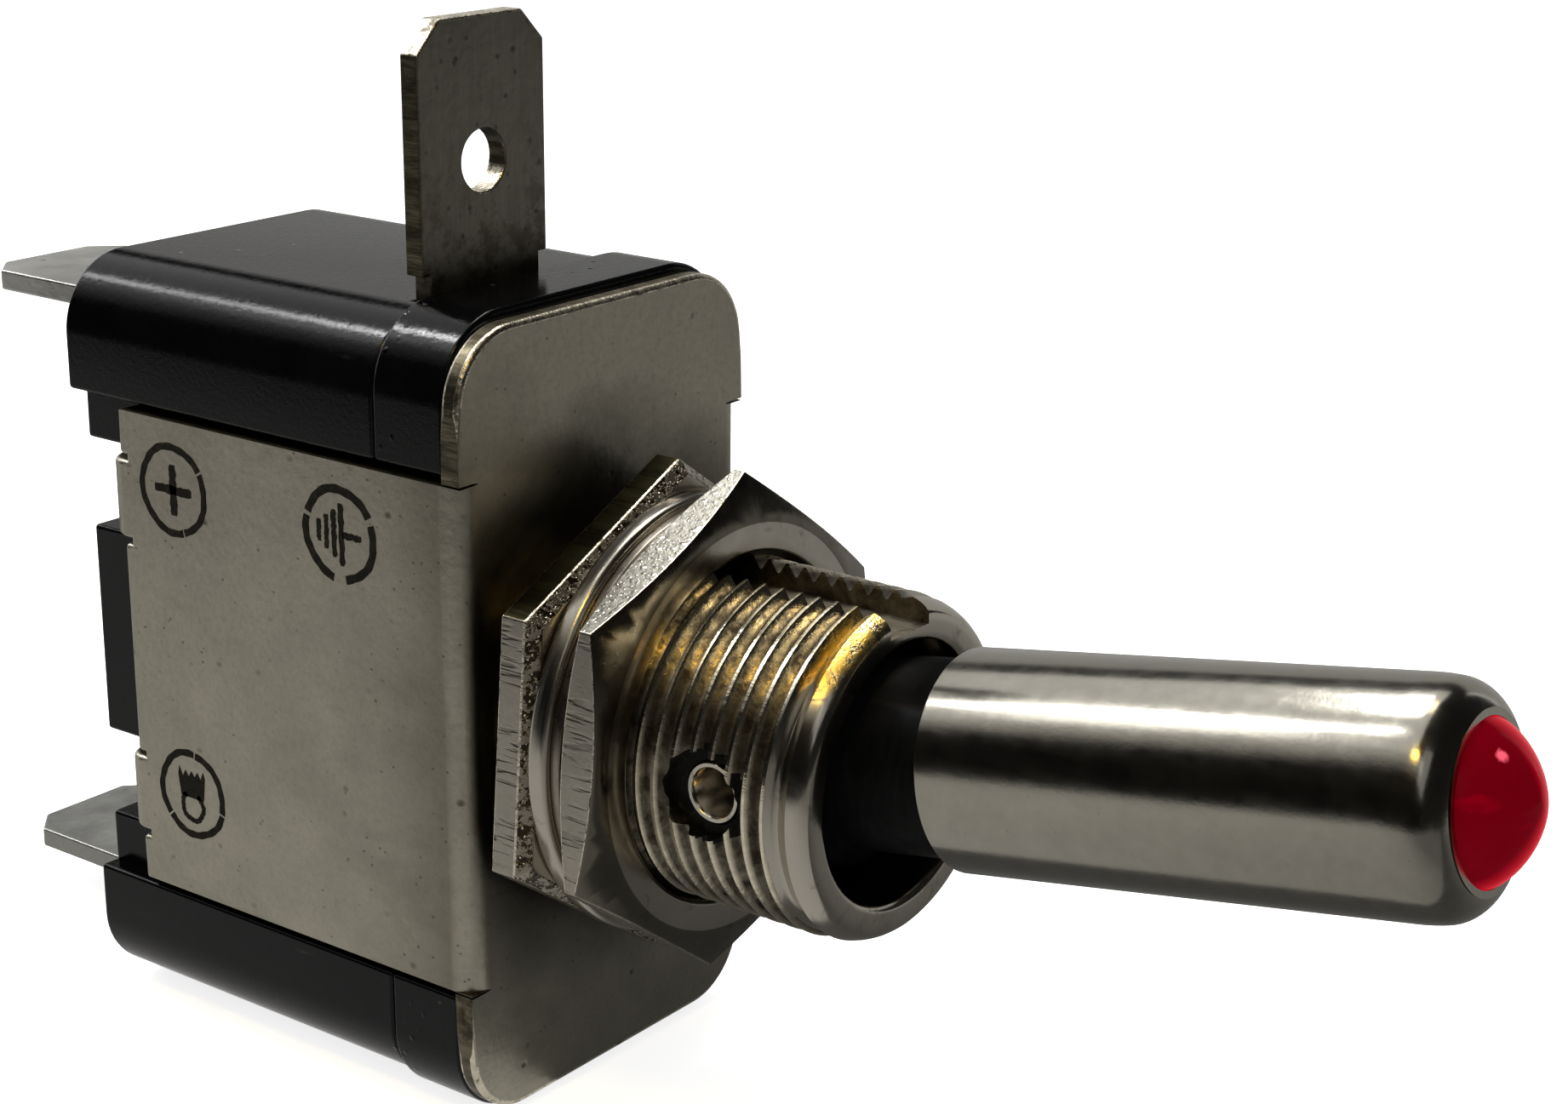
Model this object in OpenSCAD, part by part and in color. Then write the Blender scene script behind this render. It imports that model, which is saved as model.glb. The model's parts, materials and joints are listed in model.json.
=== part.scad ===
/* [Bracket] */
// Width of the bracket across the outsides of its wings
bracket_w = 15.2; // [13:0.1:18.5]
// Length of the bracket, from the plate's front face to the wings' rear edges
bracket_len = 16.9; // [14.2:0.1:20.4]
// Thickness of the bracket sheet
sheet_t = 0.8; // [0.5:0.1:1]
// Height of the front plate
plate_h = 28.7; // [26:0.1:34.5]
// Radius of the front plate's corners
plate_corner_r = 2.7; // [1:0.1:4]
// Height of each side wing
wing_h = 18.4; // [15.4:0.1:20]
// Inside radius of the wings' bends
bend_in = 0.15; // [0.05:0.05:0.6]
// Width of the relief notch beside each bend
relief_w = 0.7; // [0.4:0.1:1]
// Height of each crimp tab folded over the base
tab_h = 3; // [1.5:0.1:3.1]
// Reach of each crimp tab, inwards from the wing's outside
tab_reach = 3.4; // [2:0.1:4.5]
// Inside radius of the crimp tabs' bends
tab_bend_in = 0.15; // [0.05:0.05:0.3]
// Depth of the small notch on each side of a crimp tab
tab_notch = 0.35; // [0.2:0.05:1]

/* [Housing] */
// Height of the base housing
body_h = 28.7; // [26:0.1:34.5]
// Width of the two ends of the base housing
body_w = 15; // [13:0.1:18.5]
// Radius of the long edges of the base housing
end_round = 2.8; // [1.5:0.1:3.4]
// Radius of the long edges of the front cover
cover_round = 3; // [1.5:0.1:3.6]
// How far the front cover stands proud of the base, above and below
cover_proud = 0.35; // [0:0.05:0.5]
// Depth of the front cover
cover_d = 3.2; // [2.6:0.1:4]
// Depth of the terminal bosses, behind the wings' rear edges
boss_d = 2.7; // [1:0.1:4]
// Half height of the middle boss
mid_boss_z = 4.1; // [3.4:0.1:4.6]
// Height at which each end boss begins, above and below the middle
end_boss_z = 7.5; // [7:0.1:8.2]
// Width of the contact chamber
chamber_w = 9.6; // [8:0.1:10.5]
// Wall between the contact chamber and the top or bottom of the base
chamber_wall = 1.3; // [1.1:0.1:1.4]

/* [Bushing and nuts] */
// Outer radius of the threaded bushing
thread_r = 6; // [5.4:0.1:7]
// Length of the bushing in front of the plate
bushing_len = 12.85; // [11.5:0.05:15.4]
// Radius of the bushing's bore
bore_r = 4.56; // [4.5:0.02:4.8]
// Outer radius of the bushing's front rim
rim_r = 5.4; // [5:0.05:5.8]
// Length of the plain rounded nose of the bushing
nose_len = 1.5; // [0.8:0.1:2]
// Radius of the bushing's staked rear collar
stake_r = 6.2; // [5.8:0.1:7]
// Width of the keyway along the top of the thread
keyway_w = 2.2; // [1.5:0.1:2.6]
// Height of the keyway's floor above the bushing's axis
keyway_floor = 5; // [4.9:0.05:5.4]
// Width of the nuts across their flats
nut_af = 15.5; // [14:0.1:17]
// Thickness of the rear nut
rear_nut_t = 1.45; // [1.2:0.05:1.8]
// Thickness of the front nut
front_nut_t = 1.8; // [1.4:0.05:2.2]
// Width of the front nut's flat face, inside its chamfer
nut_face = 0.95; // [0.5:0.05:1.2]
// Depth of the front nut's chamfers at its corners
nut_chamfer = 0.65; // [0.3:0.05:0.8]
// Bevel along the front edges of the rear nut
nut_bevel = 0.4; // [0.2:0.05:0.6]
// Gap between the plate and the rear nut
nut_gap = 1.5; // [0.3:0.1:1.8]
// Turn of the rear nut about the bushing
rear_nut_turn = 25; // [0:1:60]
// Turn of the front nut about the bushing
front_nut_turn = 24; // [0:1:60]
// Outer radius of the flat washer
washer_r = 7.9; // [7:0.1:9]
// Thickness of the flat washer
washer_t = 0.8; // [0.5:0.05:1]
// Outer radius of the toothed lock washer
lock_r = 7.6; // [7:0.1:8.5]
// Thickness of the toothed lock washer
lock_t = 0.4; // [0.3:0.05:0.6]

/* [Lever] */
// Distance of the lever's pivot in front of the plate
pivot_y = 8.8; // [7.5:0.1:9.6]
// Tilt of the lever from the bushing's axis, the same up and down
lever_tilt = 9.8; // [8:0.1:10]
// Distance along the lever from the bushing's front rim to the metal sleeve
sleeve_gap = 2.85; // [2.2:0.05:3.6]
// Length of the metal sleeve
sleeve_len = 17.8; // [14:0.1:21.5]
// Outer radius of the metal sleeve
sleeve_r = 3.7; // [3.56:0.02:3.8]
// Wall of the metal sleeve
sleeve_wall = 0.55; // [0.4:0.05:0.7]
// Radius of the sleeve's rounded front edge
sleeve_round = 1.3; // [0.4:0.1:1.4]
// Radius of the black collar between the sleeve and the bushing
collar_r = 3.3; // [2.9:0.05:3.4]
// Radius of the lamp
led_r = 2.6; // [2.2:0.05:2.65]
// How far the lamp's dome stands out of the sleeve
led_dome = 1.55; // [1:0.05:2.2]
// Radius of the hollow pivot pin
pin_r = 1.1; // [0.9:0.05:1.2]
// Length of the lever's tail, from the pivot
tail_len = 14.6; // [13.4:0.1:15.6]
// Radius of the end of the lever's tail
tail_r = 2.3; // [2.1:0.05:2.4]

/* [Contacts] */
// Radius of the plunger in the lever's tail
plunger_r = 1.4; // [1.2:0.05:1.5]
// Radius of the plunger's round tip
tip_r = 1.2; // [0.9:0.05:1.2]
// Distance of the centre of the plunger's tip behind the pivot
tip_reach = 16; // [15.8:0.1:17]
// Tilt of the contact rocker, the same each way
rocker_tilt = 5.5; // [4.5:0.1:6]
// Bend of each of the rocker's arms towards the plunger
rocker_bend = 6; // [5:0.1:6.5]
// Thickness of the contact rocker
rocker_t = 0.8; // [0.6:0.05:0.9]
// Width of the contact rocker
rocker_w = 5; // [4:0.1:5.6]
// Length of each of the rocker's arms
rocker_arm = 7.6; // [7:0.1:8.6]
// Place of the contact buttons along the rocker's arm
contact_at = 6.2; // [5.8:0.1:6.6]
// Radius of the contact buttons
contact_r = 1.4; // [1:0.1:1.6]
// Thickness of each contact button
contact_t = 0.5; // [0.4:0.05:0.7]

/* [Terminals] */
// Width of the push-on blades
blade_w = 6.3; // [5.2:0.1:7.5]
// Thickness of the push-on blades
blade_t = 0.8; // [0.6:0.05:1]
// Length of the rear blades behind their bosses
blade_len = 10.15; // [7:0.05:12]
// Distance of the supply blade from the top of the base
supply_inset = 2.75; // [2.35:0.05:3.3]
// Distance of the load blade from the bottom of the base
load_inset = 2.05; // [1.95:0.05:3.3]
// Distance of the holes from the tips of the rear blades
rear_hole_at = 4.2; // [3.4:0.1:5]
// Radius of the holes in the blades
blade_hole_r = 1.08; // [0.7:0.02:1.3]
// Corner cut at the tip of each blade
blade_chamfer = 1.1; // [0.5:0.1:1.6]
// Height of the ground blade's tip above the front cover
ground_rise = 9.15; // [7.6:0.05:14]
// Distance of the ground blade's hole from its tip
ground_hole_at = 4.95; // [4.2:0.05:5.8]
// Height of the ground blade's shoulders above the front cover
shoulder_rise = 0.6; // [0.3:0.05:1.8]
// Sideways place of the ground blade
ground_x = -1.7; // [-1.8:0.1:1.8]
// Width of the ground blade's neck
neck_w = 5.5; // [4.5:0.1:5.8]

/* [Clearances] */
// Clearance between the housing and the bracket's wings
wing_fit = 0.05; // [0.02:0.01:0.1]
// Gap between the wings' long edges and the housing's ends
wing_gap = 0.3; // [0.1:0.05:0.5]
// Radial clearance between the nuts and the thread
thread_fit = 0.04; // [0.02:0.01:0.1]
// Radial clearance of the pivot pin in the lever
pin_fit = 0.05; // [0.02:0.01:0.09]
// Radial clearance of the plunger in the lever's tail
plunger_fit = 0.06; // [0.02:0.01:0.09]
// Radial clearance of the rocker's knuckle in its cradle
knuckle_fit = 0.04; // [0.02:0.01:0.09]
// Gap between the plunger's tip and the rocker, halfway through its travel
tip_gap = 0.1; // [0.08:0.01:0.3]
// Gap between the closed contacts
contact_gap = 0.04; // [0.02:0.01:0.1]

/* [Hidden] */
$fn = 64;
eps = 0.01;

// Outer radii of the bends
bend_r = sheet_t + bend_in;
tab_bend_r = sheet_t + tab_bend_in;

// Stations along the switch, front to rear
seam_y = sheet_t + cover_d;
boss_y = bracket_len + boss_d;
inner_w = bracket_w - 2 * sheet_t - 2 * wing_fit;
lip_z = wing_h / 2 + wing_gap;
cover_h = body_h + 2 * cover_proud;
chamber_z = body_h / 2 - chamber_wall;
supply_z = body_h / 2 - supply_inset;
load_z = body_h / 2 - load_inset;
tab_z = (mid_boss_z + end_boss_z) / 2;
notch_w = 0.2;
tab_ease = 0.4;
bend_ease = 0.1;
stake_len = 0.7;
stake_chamfer = 0.3;
edge_break = 0.25;
tail_way_r = bore_r + 0.45;
collar_wall = 0.8;
foot_z = stake_r + 2;
ground_top = cover_h / 2 + ground_rise;
shoulder_z = cover_h / 2 + shoulder_rise;
dummy_depth = 0.7;

// Stack of nuts and washers on the thread
rear_nut_y = -nut_gap - rear_nut_t;
washer_y = rear_nut_y - washer_t;
lock_y = washer_y - lock_t;
front_nut_y = lock_y - front_nut_t;
nut_corner_r = nut_af / 2 / cos(30);
countersink = 0.3;
held_r = thread_r - thread_fit;
tail_bore_r = plunger_r + plunger_fit;
pin_wall = 0.35;
pin_reach = bore_r + 0.75;
pin_hole_step = 0.45;
lock_teeth = 12;
tooth_w = 0.9;
tooth_reach = 0.6;

// Rocker, placed so that the plunger's tip clears it all the way
knuckle_r = 0.6;
rocker_face = 0.9;
rocker_y = tip_reach - pivot_y + tip_r + tip_gap + rocker_face;

// Point on the rocker's arm, a distance s from the bend and t behind its front, in the rocker's own frame
function arm_at(s, t) = [
    -rocker_face - s * sin(rocker_bend) + t * cos(rocker_bend),
    s * cos(rocker_bend) + t * sin(rocker_bend)
];
function turned(p, a) = [p[0] * cos(a) - p[1] * sin(a), p[0] * sin(a) + p[1] * cos(a)];
function flipped(p) = [p[0], -p[1]];

// Place of the closed contacts, and of the legs that carry them
closed_at = turned(arm_at(contact_at, rocker_t + contact_t), -rocker_tilt);
contact_y = rocker_y + closed_at[0] + contact_gap;
contact_z = closed_at[1];
leg_y = contact_y + contact_t;
chamber_y = leg_y + blade_t;
stop_at = turned(arm_at(contact_at, rocker_t), -rocker_tilt);
stop_y = rocker_y + stop_at[0] + contact_gap;
rivet_r = 0.9;
rivet_head_r = 1.4;
rivet_z = contact_z + contact_r + rivet_head_r + 0.1;
rivet_depth = 2.4;
rivet_head_t = 0.5;
rivet_dome = 0.3;
stop_rib_x = 2;
stop_rib_w = 0.8;
stop_rib_h = 1.4;
cradle_h = 3;
cradle_gap = 0.12;
cradle_inset = 0.1;
load_leg_w = 3;

// Inside of the lever
sleeve_in = sleeve_r - sleeve_wall;
sleeve_start = bushing_len - pivot_y + sleeve_gap;
sleeve_end = sleeve_start + sleeve_len;
ball_r = bore_r - 0.2;
lip_t = 1;
led_flange = 0.4;
dome_foot = 0.3;
dome_power = 1.25;
spigot_len = 3;
spring_rest = 3.2;
plunger_back = tip_reach - 4.6;
spring_seat = plunger_back - spring_rest;
wire_way_r = 0.3;
wire_r = 0.25;
wire_z = 1.9;
resistor_z = wire_z - 0.9;
resistor_r = 0.85;
led_back = sleeve_end - 3.6;
resistor_len = 5;
resistor_cap = 1.2;
resistor_bead = 0.1;
resistor_back = led_back - 7;
riser_y = resistor_back - 0.9;
cathode_z = 1;
coils = 5;
coil_wire_r = 0.2;
coil_tie_r = 0.12;
coil_step = (spring_rest - 2 * coil_wire_r) / (coils - 1);
coil_r = plunger_r - coil_wire_r - 0.05;
neck_r = tail_r + 0.4;
neck_len = 6;
tail_chamfer = 0.3;

// Shape in x and z, carried from y0 to y0 + len
module along_y(y0, len)
    translate([0, y0 + len, 0])
        rotate([90, 0, 0])
            linear_extrude(len)
                children();

// Shape in y and z, carried from x0 to x0 + len
module along_x(x0, len)
    translate([x0, 0, 0])
        rotate([90, 0, 90])
            linear_extrude(len)
                children();

// Profile in radius and y, turned about the y axis
module spin_y()
    rotate([-90, 0, 0])
        rotate_extrude()
            children();

// Puts the lever's own frame at its pivot, tilted up as it rests
module lever_pose()
    translate([0, -pivot_y, 0])
        rotate([-lever_tilt, 0, 0])
            children();

// Puts the rocker's own frame at its knuckle, tilted as it rests
module rocker_pose()
    translate([0, rocker_y, 0])
        rotate([rocker_tilt, 0, 0])
            children();

// Rectangle with round corners, centred
module rounded_rect(w, h, r) {
    square([w - 2 * r, h], center = true);
    square([w, h - 2 * r], center = true);
    for (sx = [-1, 1], sz = [-1, 1])
        translate([sx * (w / 2 - r), sz * (h / 2 - r)])
            circle(r);
}

// Rectangle from y = 0 to len, centred in x, its two front corners round
module front_rounded(w, len, r) {
    translate([-w / 2 + r, 0])
        square([w - 2 * r, len]);
    translate([-w / 2, r])
        square([w, len - r]);
    for (s = [-1, 1])
        translate([s * (w / 2 - r), r])
            circle(r);
}

// Outline of the housing: round ends, and a narrower waist between the wings
module housing_outline(w, h, r) {
    difference() {
        rounded_rect(w, h, r);
        square([w + 1, 2 * lip_z], center = true);
    }
    square([inner_w, 2 * lip_z + 0.2], center = true);
}

// Blade with cut corners and a hole; its tip is at y = 0 and it runs to y = -len
module blade_outline(w, len, hole_at) {
    difference() {
        polygon([
            [-w / 2, -len],
            [-w / 2, -blade_chamfer],
            [-w / 2 + blade_chamfer, 0],
            [w / 2 - blade_chamfer, 0],
            [w / 2, -blade_chamfer],
            [w / 2, -len]
        ]);
        translate([0, -hole_at])
            circle(blade_hole_r);
    }
}

// Section of the folded sheet: the plate between its two wings
module wing_section()
    difference() {
        front_rounded(bracket_w, bracket_len, bend_r);
        translate([0, sheet_t])
            front_rounded(bracket_w - 2 * sheet_t, bracket_len, bend_in);
    }

// Section of a crimp tab: the right wing carried past its rear edge and folded inwards over the base
module tab_section() {
    tab_back = bracket_len + sheet_t;
    difference() {
        union() {
            translate([bracket_w / 2 - tab_reach, bracket_len])
                square([tab_reach - tab_bend_r, sheet_t]);
            translate([bracket_w / 2 - sheet_t, bracket_len - tab_notch])
                square([sheet_t, sheet_t + tab_notch - tab_bend_r]);
            translate([bracket_w / 2 - tab_bend_r, tab_back - tab_bend_r])
                intersection() {
                    circle(tab_bend_r);
                    square(tab_bend_r);
                }
        }
        translate([bracket_w / 2 - tab_bend_r, tab_back - tab_bend_r])
            circle(tab_bend_in);
    }
}

module bracket()
    color([0.48, 0.46, 0.42]) {
        difference() {
            translate([0, 0, -wing_h / 2])
                linear_extrude(wing_h)
                    wing_section();
            along_y(-1, sheet_t + 2)
                circle(bore_r + collar_wall);
            for (s = [-1, 1])
                translate([0, bracket_len, s * tab_z])
                    cube([2 * bracket_w, 2 * tab_notch, tab_h + 2 * notch_w], center = true);
        }
        along_y(0, sheet_t)
            difference() {
                rounded_rect(bracket_w, plate_h, plate_corner_r);
                square([bracket_w + 1, wing_h - 2 * eps], center = true);
                for (sx = [-1, 1], sz = [-1, 1])
                    translate([sx * bracket_w / 2, sz * (wing_h / 2 + relief_w / 2)]) {
                        square([2 * bend_r - relief_w, relief_w], center = true);
                        translate([sx * (relief_w / 2 - bend_r), 0])
                            circle(relief_w / 2);
                    }
            }
        for (s = [-1, 1], m = [0, 1])
            mirror([m, 0, 0])
                translate([0, 0, s * tab_z - tab_h / 2])
                    linear_extrude(tab_h)
                        tab_section();
    }

module front_cover()
    color([0.1, 0.1, 0.11])
        difference() {
            intersection() {
                along_y(sheet_t, cover_d)
                    housing_outline(body_w, cover_h, cover_round);
                union() {
                    for (s = [-1, 1])
                        translate([-body_w, sheet_t, s > 0 ? lip_z : -body_h])
                            cube([2 * body_w, cover_d, body_h - lip_z]);
                    translate([0, sheet_t, -lip_z])
                        linear_extrude(2 * lip_z)
                            front_rounded(inner_w, cover_d, bend_in + bend_ease);
                }
            }
            // way for the lever's tail, and the seat of the bushing's collar
            along_y(0, seam_y + 1)
                circle(tail_way_r);
            along_y(0, sheet_t + stake_len + wing_fit)
                circle(stake_r + wing_fit);
            // slot for the ground terminal's foot
            translate([ground_x - neck_w / 2 - wing_fit, 0, foot_z - wing_fit])
                cube([neck_w + 2 * wing_fit, seam_y + 1, blade_t + 2 * wing_fit]);
        }

// Side profile of the base: its front at the seam, its rear stepped into three bosses
module base_profile() {
    translate([seam_y, -body_h])
        square([bracket_len - seam_y, 2 * body_h]);
    translate([seam_y, -mid_boss_z])
        square([boss_y - seam_y, 2 * mid_boss_z]);
    translate([seam_y, end_boss_z])
        square([boss_y - seam_y, body_h]);
    translate([seam_y, -end_boss_z - body_h])
        square([boss_y - seam_y, body_h]);
}

module base_housing()
    color([0.09, 0.09, 0.1])
        difference() {
            intersection() {
                along_y(seam_y, boss_y - seam_y)
                    housing_outline(body_w, body_h, end_round);
                along_x(-body_w, 2 * body_w)
                    base_profile();
            }
            // contact chamber, open towards the cover
            difference() {
                translate([-chamber_w / 2, seam_y - 1, -chamber_z])
                    cube([chamber_w, chamber_y - seam_y + 1, 2 * chamber_z]);
                for (s = [-1, 1])
                    translate([s * stop_rib_x - stop_rib_w / 2, stop_y, -contact_z - stop_rib_h / 2])
                        cube([stop_rib_w, chamber_y, stop_rib_h]);
            }
            // slots for the two rear terminals, and blind holes for their rivets
            for (z = [supply_z, -load_z])
                translate([-blade_w / 2, chamber_y - 1, z - blade_t / 2])
                    cube([blade_w, boss_y, blade_t]);
            for (s = [-1, 1])
                translate([0, 0, s * rivet_z])
                    along_y(chamber_y - 1, rivet_depth + 1)
                        circle(rivet_r);
            // slot for the ground terminal's neck
            translate([ground_x - neck_w / 2, seam_y - 1, foot_z])
                cube([neck_w, 1 + blade_t, body_h]);
            // blanked terminal place in the middle boss
            translate([-blade_w / 2, boss_y - dummy_depth, -blade_t / 2])
                cube([blade_w, 2 * dummy_depth, blade_t]);
            // room for the inside of the crimp tabs' bends
            for (sx = [-1, 1], sz = [-1, 1])
                translate([sx * inner_w / 2, bracket_len, sz * tab_z])
                    rotate([0, 0, 45])
                        cube([tab_ease, tab_ease, end_boss_z - mid_boss_z], center = true);
        }

module threaded_bushing()
    color([0.66, 0.64, 0.6])
        difference() {
            spin_y()
                polygon([
                    [bore_r, sheet_t + stake_len],
                    [bore_r, -bushing_len + edge_break],
                    [bore_r + edge_break, -bushing_len],
                    for (t = [0:18:90])
                        [rim_r + (thread_r - rim_r) * sin(t), -bushing_len + nose_len * (1 - cos(t))],
                    [thread_r, front_nut_y],
                    [held_r, front_nut_y],
                    [held_r, 0],
                    [bore_r + collar_wall, 0],
                    [bore_r + collar_wall, sheet_t],
                    [stake_r, sheet_t],
                    [stake_r - stake_chamfer, sheet_t + stake_len]
                ]);
            // keyway along the top
            translate([-keyway_w / 2, -bushing_len - 1, keyway_floor])
                cube([keyway_w, bushing_len, thread_r]);
            // cross hole for the pivot pin, wider through the thread
            translate([-thread_r - 1, -pivot_y, 0])
                rotate([0, 90, 0])
                    cylinder(r = pin_r, h = 2 * thread_r + 2);
            for (s = [0, 1])
                mirror([s, 0, 0])
                    translate([pin_reach, -pivot_y, 0])
                        rotate([0, 90, 0])
                            cylinder(r = pin_r + pin_hole_step, h = thread_r);
        }

// Rear nut: a plain hexagon, bevelled along its front edges
module rear_nut()
    color([0.62, 0.6, 0.56])
        rotate([0, -rear_nut_turn, 0])
            difference() {
                along_y(rear_nut_y, rear_nut_t)
                    circle(r = nut_corner_r, $fn = 6);
                for (k = [0:5])
                    rotate([0, 30 + 60 * k, 0])
                        translate([nut_af / 2, rear_nut_y, 0])
                            rotate([0, 0, 45])
                                cube([sqrt(2) * nut_bevel, sqrt(2) * nut_bevel, nut_af], center = true);
                along_y(rear_nut_y - 1, rear_nut_t + 2)
                    circle(thread_r);
            }

// Front nut: both faces chamfered down to a round face, and its bore countersunk
module front_nut() {
    face_r = thread_r + countersink + nut_face;
    cone_r = nut_corner_r + 0.3;
    drop = nut_chamfer * (cone_r - face_r) / (nut_corner_r - face_r);
    color([0.68, 0.66, 0.62])
        rotate([0, -front_nut_turn, 0])
            difference() {
                intersection() {
                    along_y(front_nut_y, front_nut_t)
                        circle(r = nut_corner_r, $fn = 6);
                    spin_y()
                        polygon([
                            [0, front_nut_y],
                            [face_r, front_nut_y],
                            [cone_r, front_nut_y + drop],
                            [cone_r, front_nut_y + front_nut_t - drop],
                            [face_r, front_nut_y + front_nut_t],
                            [0, front_nut_y + front_nut_t]
                        ]);
                }
                spin_y()
                    polygon([
                        [0, front_nut_y - 1],
                        [thread_r + countersink + 1, front_nut_y - 1],
                        [thread_r, front_nut_y + countersink],
                        [thread_r, front_nut_y + front_nut_t + 1],
                        [0, front_nut_y + front_nut_t + 1]
                    ]);
            }
}

module flat_washer()
    color([0.6, 0.58, 0.55])
        spin_y()
            polygon([
                [thread_r, washer_y],
                [washer_r - edge_break, washer_y],
                [washer_r, washer_y + edge_break],
                [washer_r, washer_y + washer_t - edge_break],
                [washer_r - edge_break, washer_y + washer_t],
                [thread_r, washer_y + washer_t]
            ]);

// Lock washer with inner teeth
module lock_washer()
    color([0.55, 0.53, 0.5])
        along_y(lock_y, lock_t)
            difference() {
                circle(lock_r);
                circle(thread_r);
                for (k = [1:lock_teeth])
                    rotate(k * 360 / lock_teeth)
                        translate([0, -tooth_w / 2])
                            square([thread_r + tooth_reach, tooth_w]);
            }

module pivot_pin()
    color([0.7, 0.68, 0.64])
        translate([-pin_reach, -pivot_y, 0])
            rotate([0, 90, 0])
                difference() {
                    cylinder(r = pin_r, h = 2 * pin_reach);
                    translate([0, 0, -1])
                        cylinder(r = pin_r - pin_wall, h = 2 * pin_reach + 2);
                }

// Black lever body: a spigot in the sleeve, a collar, a ball at the pivot and a tail
module lever_core()
    color([0.07, 0.07, 0.08])
        lever_pose()
            difference() {
                union() {
                    spin_y()
                        polygon([
                            [0, -sleeve_start - spigot_len],
                            [sleeve_in, -sleeve_start - spigot_len],
                            [sleeve_in, -sleeve_start],
                            [collar_r, -sleeve_start],
                            [collar_r, 0],
                            [neck_r, 0],
                            [neck_r, neck_len],
                            [tail_r, tail_len - 1],
                            [tail_r - tail_chamfer, tail_len],
                            [0, tail_len]
                        ]);
                    sphere(ball_r);
                }
                translate([-ball_r - 1, 0, 0])
                    rotate([0, 90, 0])
                        cylinder(r = pin_r + pin_fit, h = 2 * ball_r + 2);
                along_y(spring_seat, tail_len)
                    circle(tail_bore_r);
                translate([0, 0, wire_z])
                    along_y(-sleeve_start - spigot_len - 1, sleeve_start + spigot_len + 1 + spring_seat)
                        circle(wire_way_r);
                translate([0, 0, wire_z / 2])
                    along_y(spring_seat - 1, 1 + eps)
                        square([2 * wire_way_r, wire_z + 2 * wire_way_r], center = true);
            }

module lever_sleeve()
    color([0.66, 0.65, 0.62])
        lever_pose()
            spin_y()
                difference() {
                    union() {
                        translate([0, -sleeve_end + sleeve_round])
                            square([sleeve_r, sleeve_len - sleeve_round]);
                        translate([0, -sleeve_end])
                            square([sleeve_r - sleeve_round, sleeve_round + eps]);
                        translate([sleeve_r - sleeve_round, -sleeve_end + sleeve_round])
                            intersection() {
                                circle(sleeve_round);
                                mirror([0, 1])
                                    translate([0, -eps])
                                        square(2 * sleeve_round);
                            }
                    }
                    translate([-1, -sleeve_end + lip_t])
                        square([1 + sleeve_in, sleeve_len]);
                    translate([-1, -sleeve_end - 1])
                        square([1 + led_r + 0.05, 3]);
                }

// Lamp: a dome between a sphere and a cone, on a barrel with a flange behind the sleeve's lip
module led()
    color([0.8, 0.02, 0.04])
        lever_pose()
            spin_y()
                polygon([
                    for (t = [90:-9:0]) [
                        led_r * pow(cos(t), dome_power),
                        -sleeve_end + dome_foot - (led_dome + dome_foot) * pow(sin(t), dome_power)
                    ],
                    [led_r, -sleeve_end + lip_t],
                    [led_r + led_flange, -sleeve_end + lip_t],
                    [led_r + led_flange, -sleeve_end + 2 * lip_t],
                    [led_r, -sleeve_end + 2 * lip_t],
                    [led_r, -led_back],
                    [0, -led_back]
                ]);

module led_resistor()
    color([0.75, 0.65, 0.45])
        lever_pose()
            translate([0, 0, resistor_z])
                spin_y()
                    polygon([
                        [wire_r, -resistor_back - resistor_len],
                        [resistor_r, -resistor_back - resistor_len],
                        [resistor_r + resistor_bead, -resistor_back - resistor_len + resistor_cap / 2],
                        [resistor_r, -resistor_back - resistor_len + resistor_cap],
                        [resistor_r, -resistor_back - resistor_cap],
                        [resistor_r + resistor_bead, -resistor_back - resistor_cap / 2],
                        [resistor_r, -resistor_back],
                        [wire_r, -resistor_back]
                    ]);

// Lead from the lamp through the resistor, over the pivot pin, to the plunger's spring
module anode_wire()
    color([0.7, 0.66, 0.6])
        lever_pose() {
            translate([0, 0, resistor_z])
                along_y(-led_back, led_back - riser_y + wire_r)
                    circle(wire_r);
            translate([0, -riser_y, resistor_z])
                cylinder(r = wire_r, h = wire_z - resistor_z);
            translate([0, 0, wire_z])
                along_y(-riser_y - wire_r, riser_y + wire_r + spring_seat)
                    circle(wire_r);
        }

// Lead from the lamp to the inside of the metal sleeve
module cathode_wire()
    color([0.7, 0.66, 0.6])
        lever_pose() {
            translate([0, 0, -cathode_z])
                along_y(-led_back, 2)
                    circle(wire_r);
            translate([0, -led_back + 2 - wire_r, -sleeve_in])
                cylinder(r = wire_r, h = sleeve_in - cathode_z);
        }

module plunger()
    color([0.8, 0.62, 0.3])
        lever_pose() {
            along_y(plunger_back, tip_reach - plunger_back)
                circle(plunger_r);
            translate([0, tip_reach, 0])
                sphere(tip_r);
        }

// Coil spring behind the plunger, as a stack of rings joined down one side
module plunger_spring()
    color([0.75, 0.75, 0.78])
        lever_pose() {
            for (k = [0:coils - 1])
                translate([0, spring_seat + coil_wire_r + k * coil_step, 0])
                    spin_y()
                        translate([coil_r, 0])
                            circle(coil_wire_r, $fn = 24);
            translate([coil_r, 0, 0])
                along_y(spring_seat + coil_wire_r, spring_rest - 2 * coil_wire_r)
                    circle(coil_tie_r, $fn = 16);
        }

// Section of the rocker: two arms bent forwards from a knuckle
module rocker_section() {
    polygon([
        arm_at(rocker_arm, 0),
        [-rocker_face, 0],
        flipped(arm_at(rocker_arm, 0)),
        flipped(arm_at(rocker_arm, rocker_t)),
        [-rocker_face + rocker_t / cos(rocker_bend), 0],
        arm_at(rocker_arm, rocker_t)
    ]);
    circle(knuckle_r);
}

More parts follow.
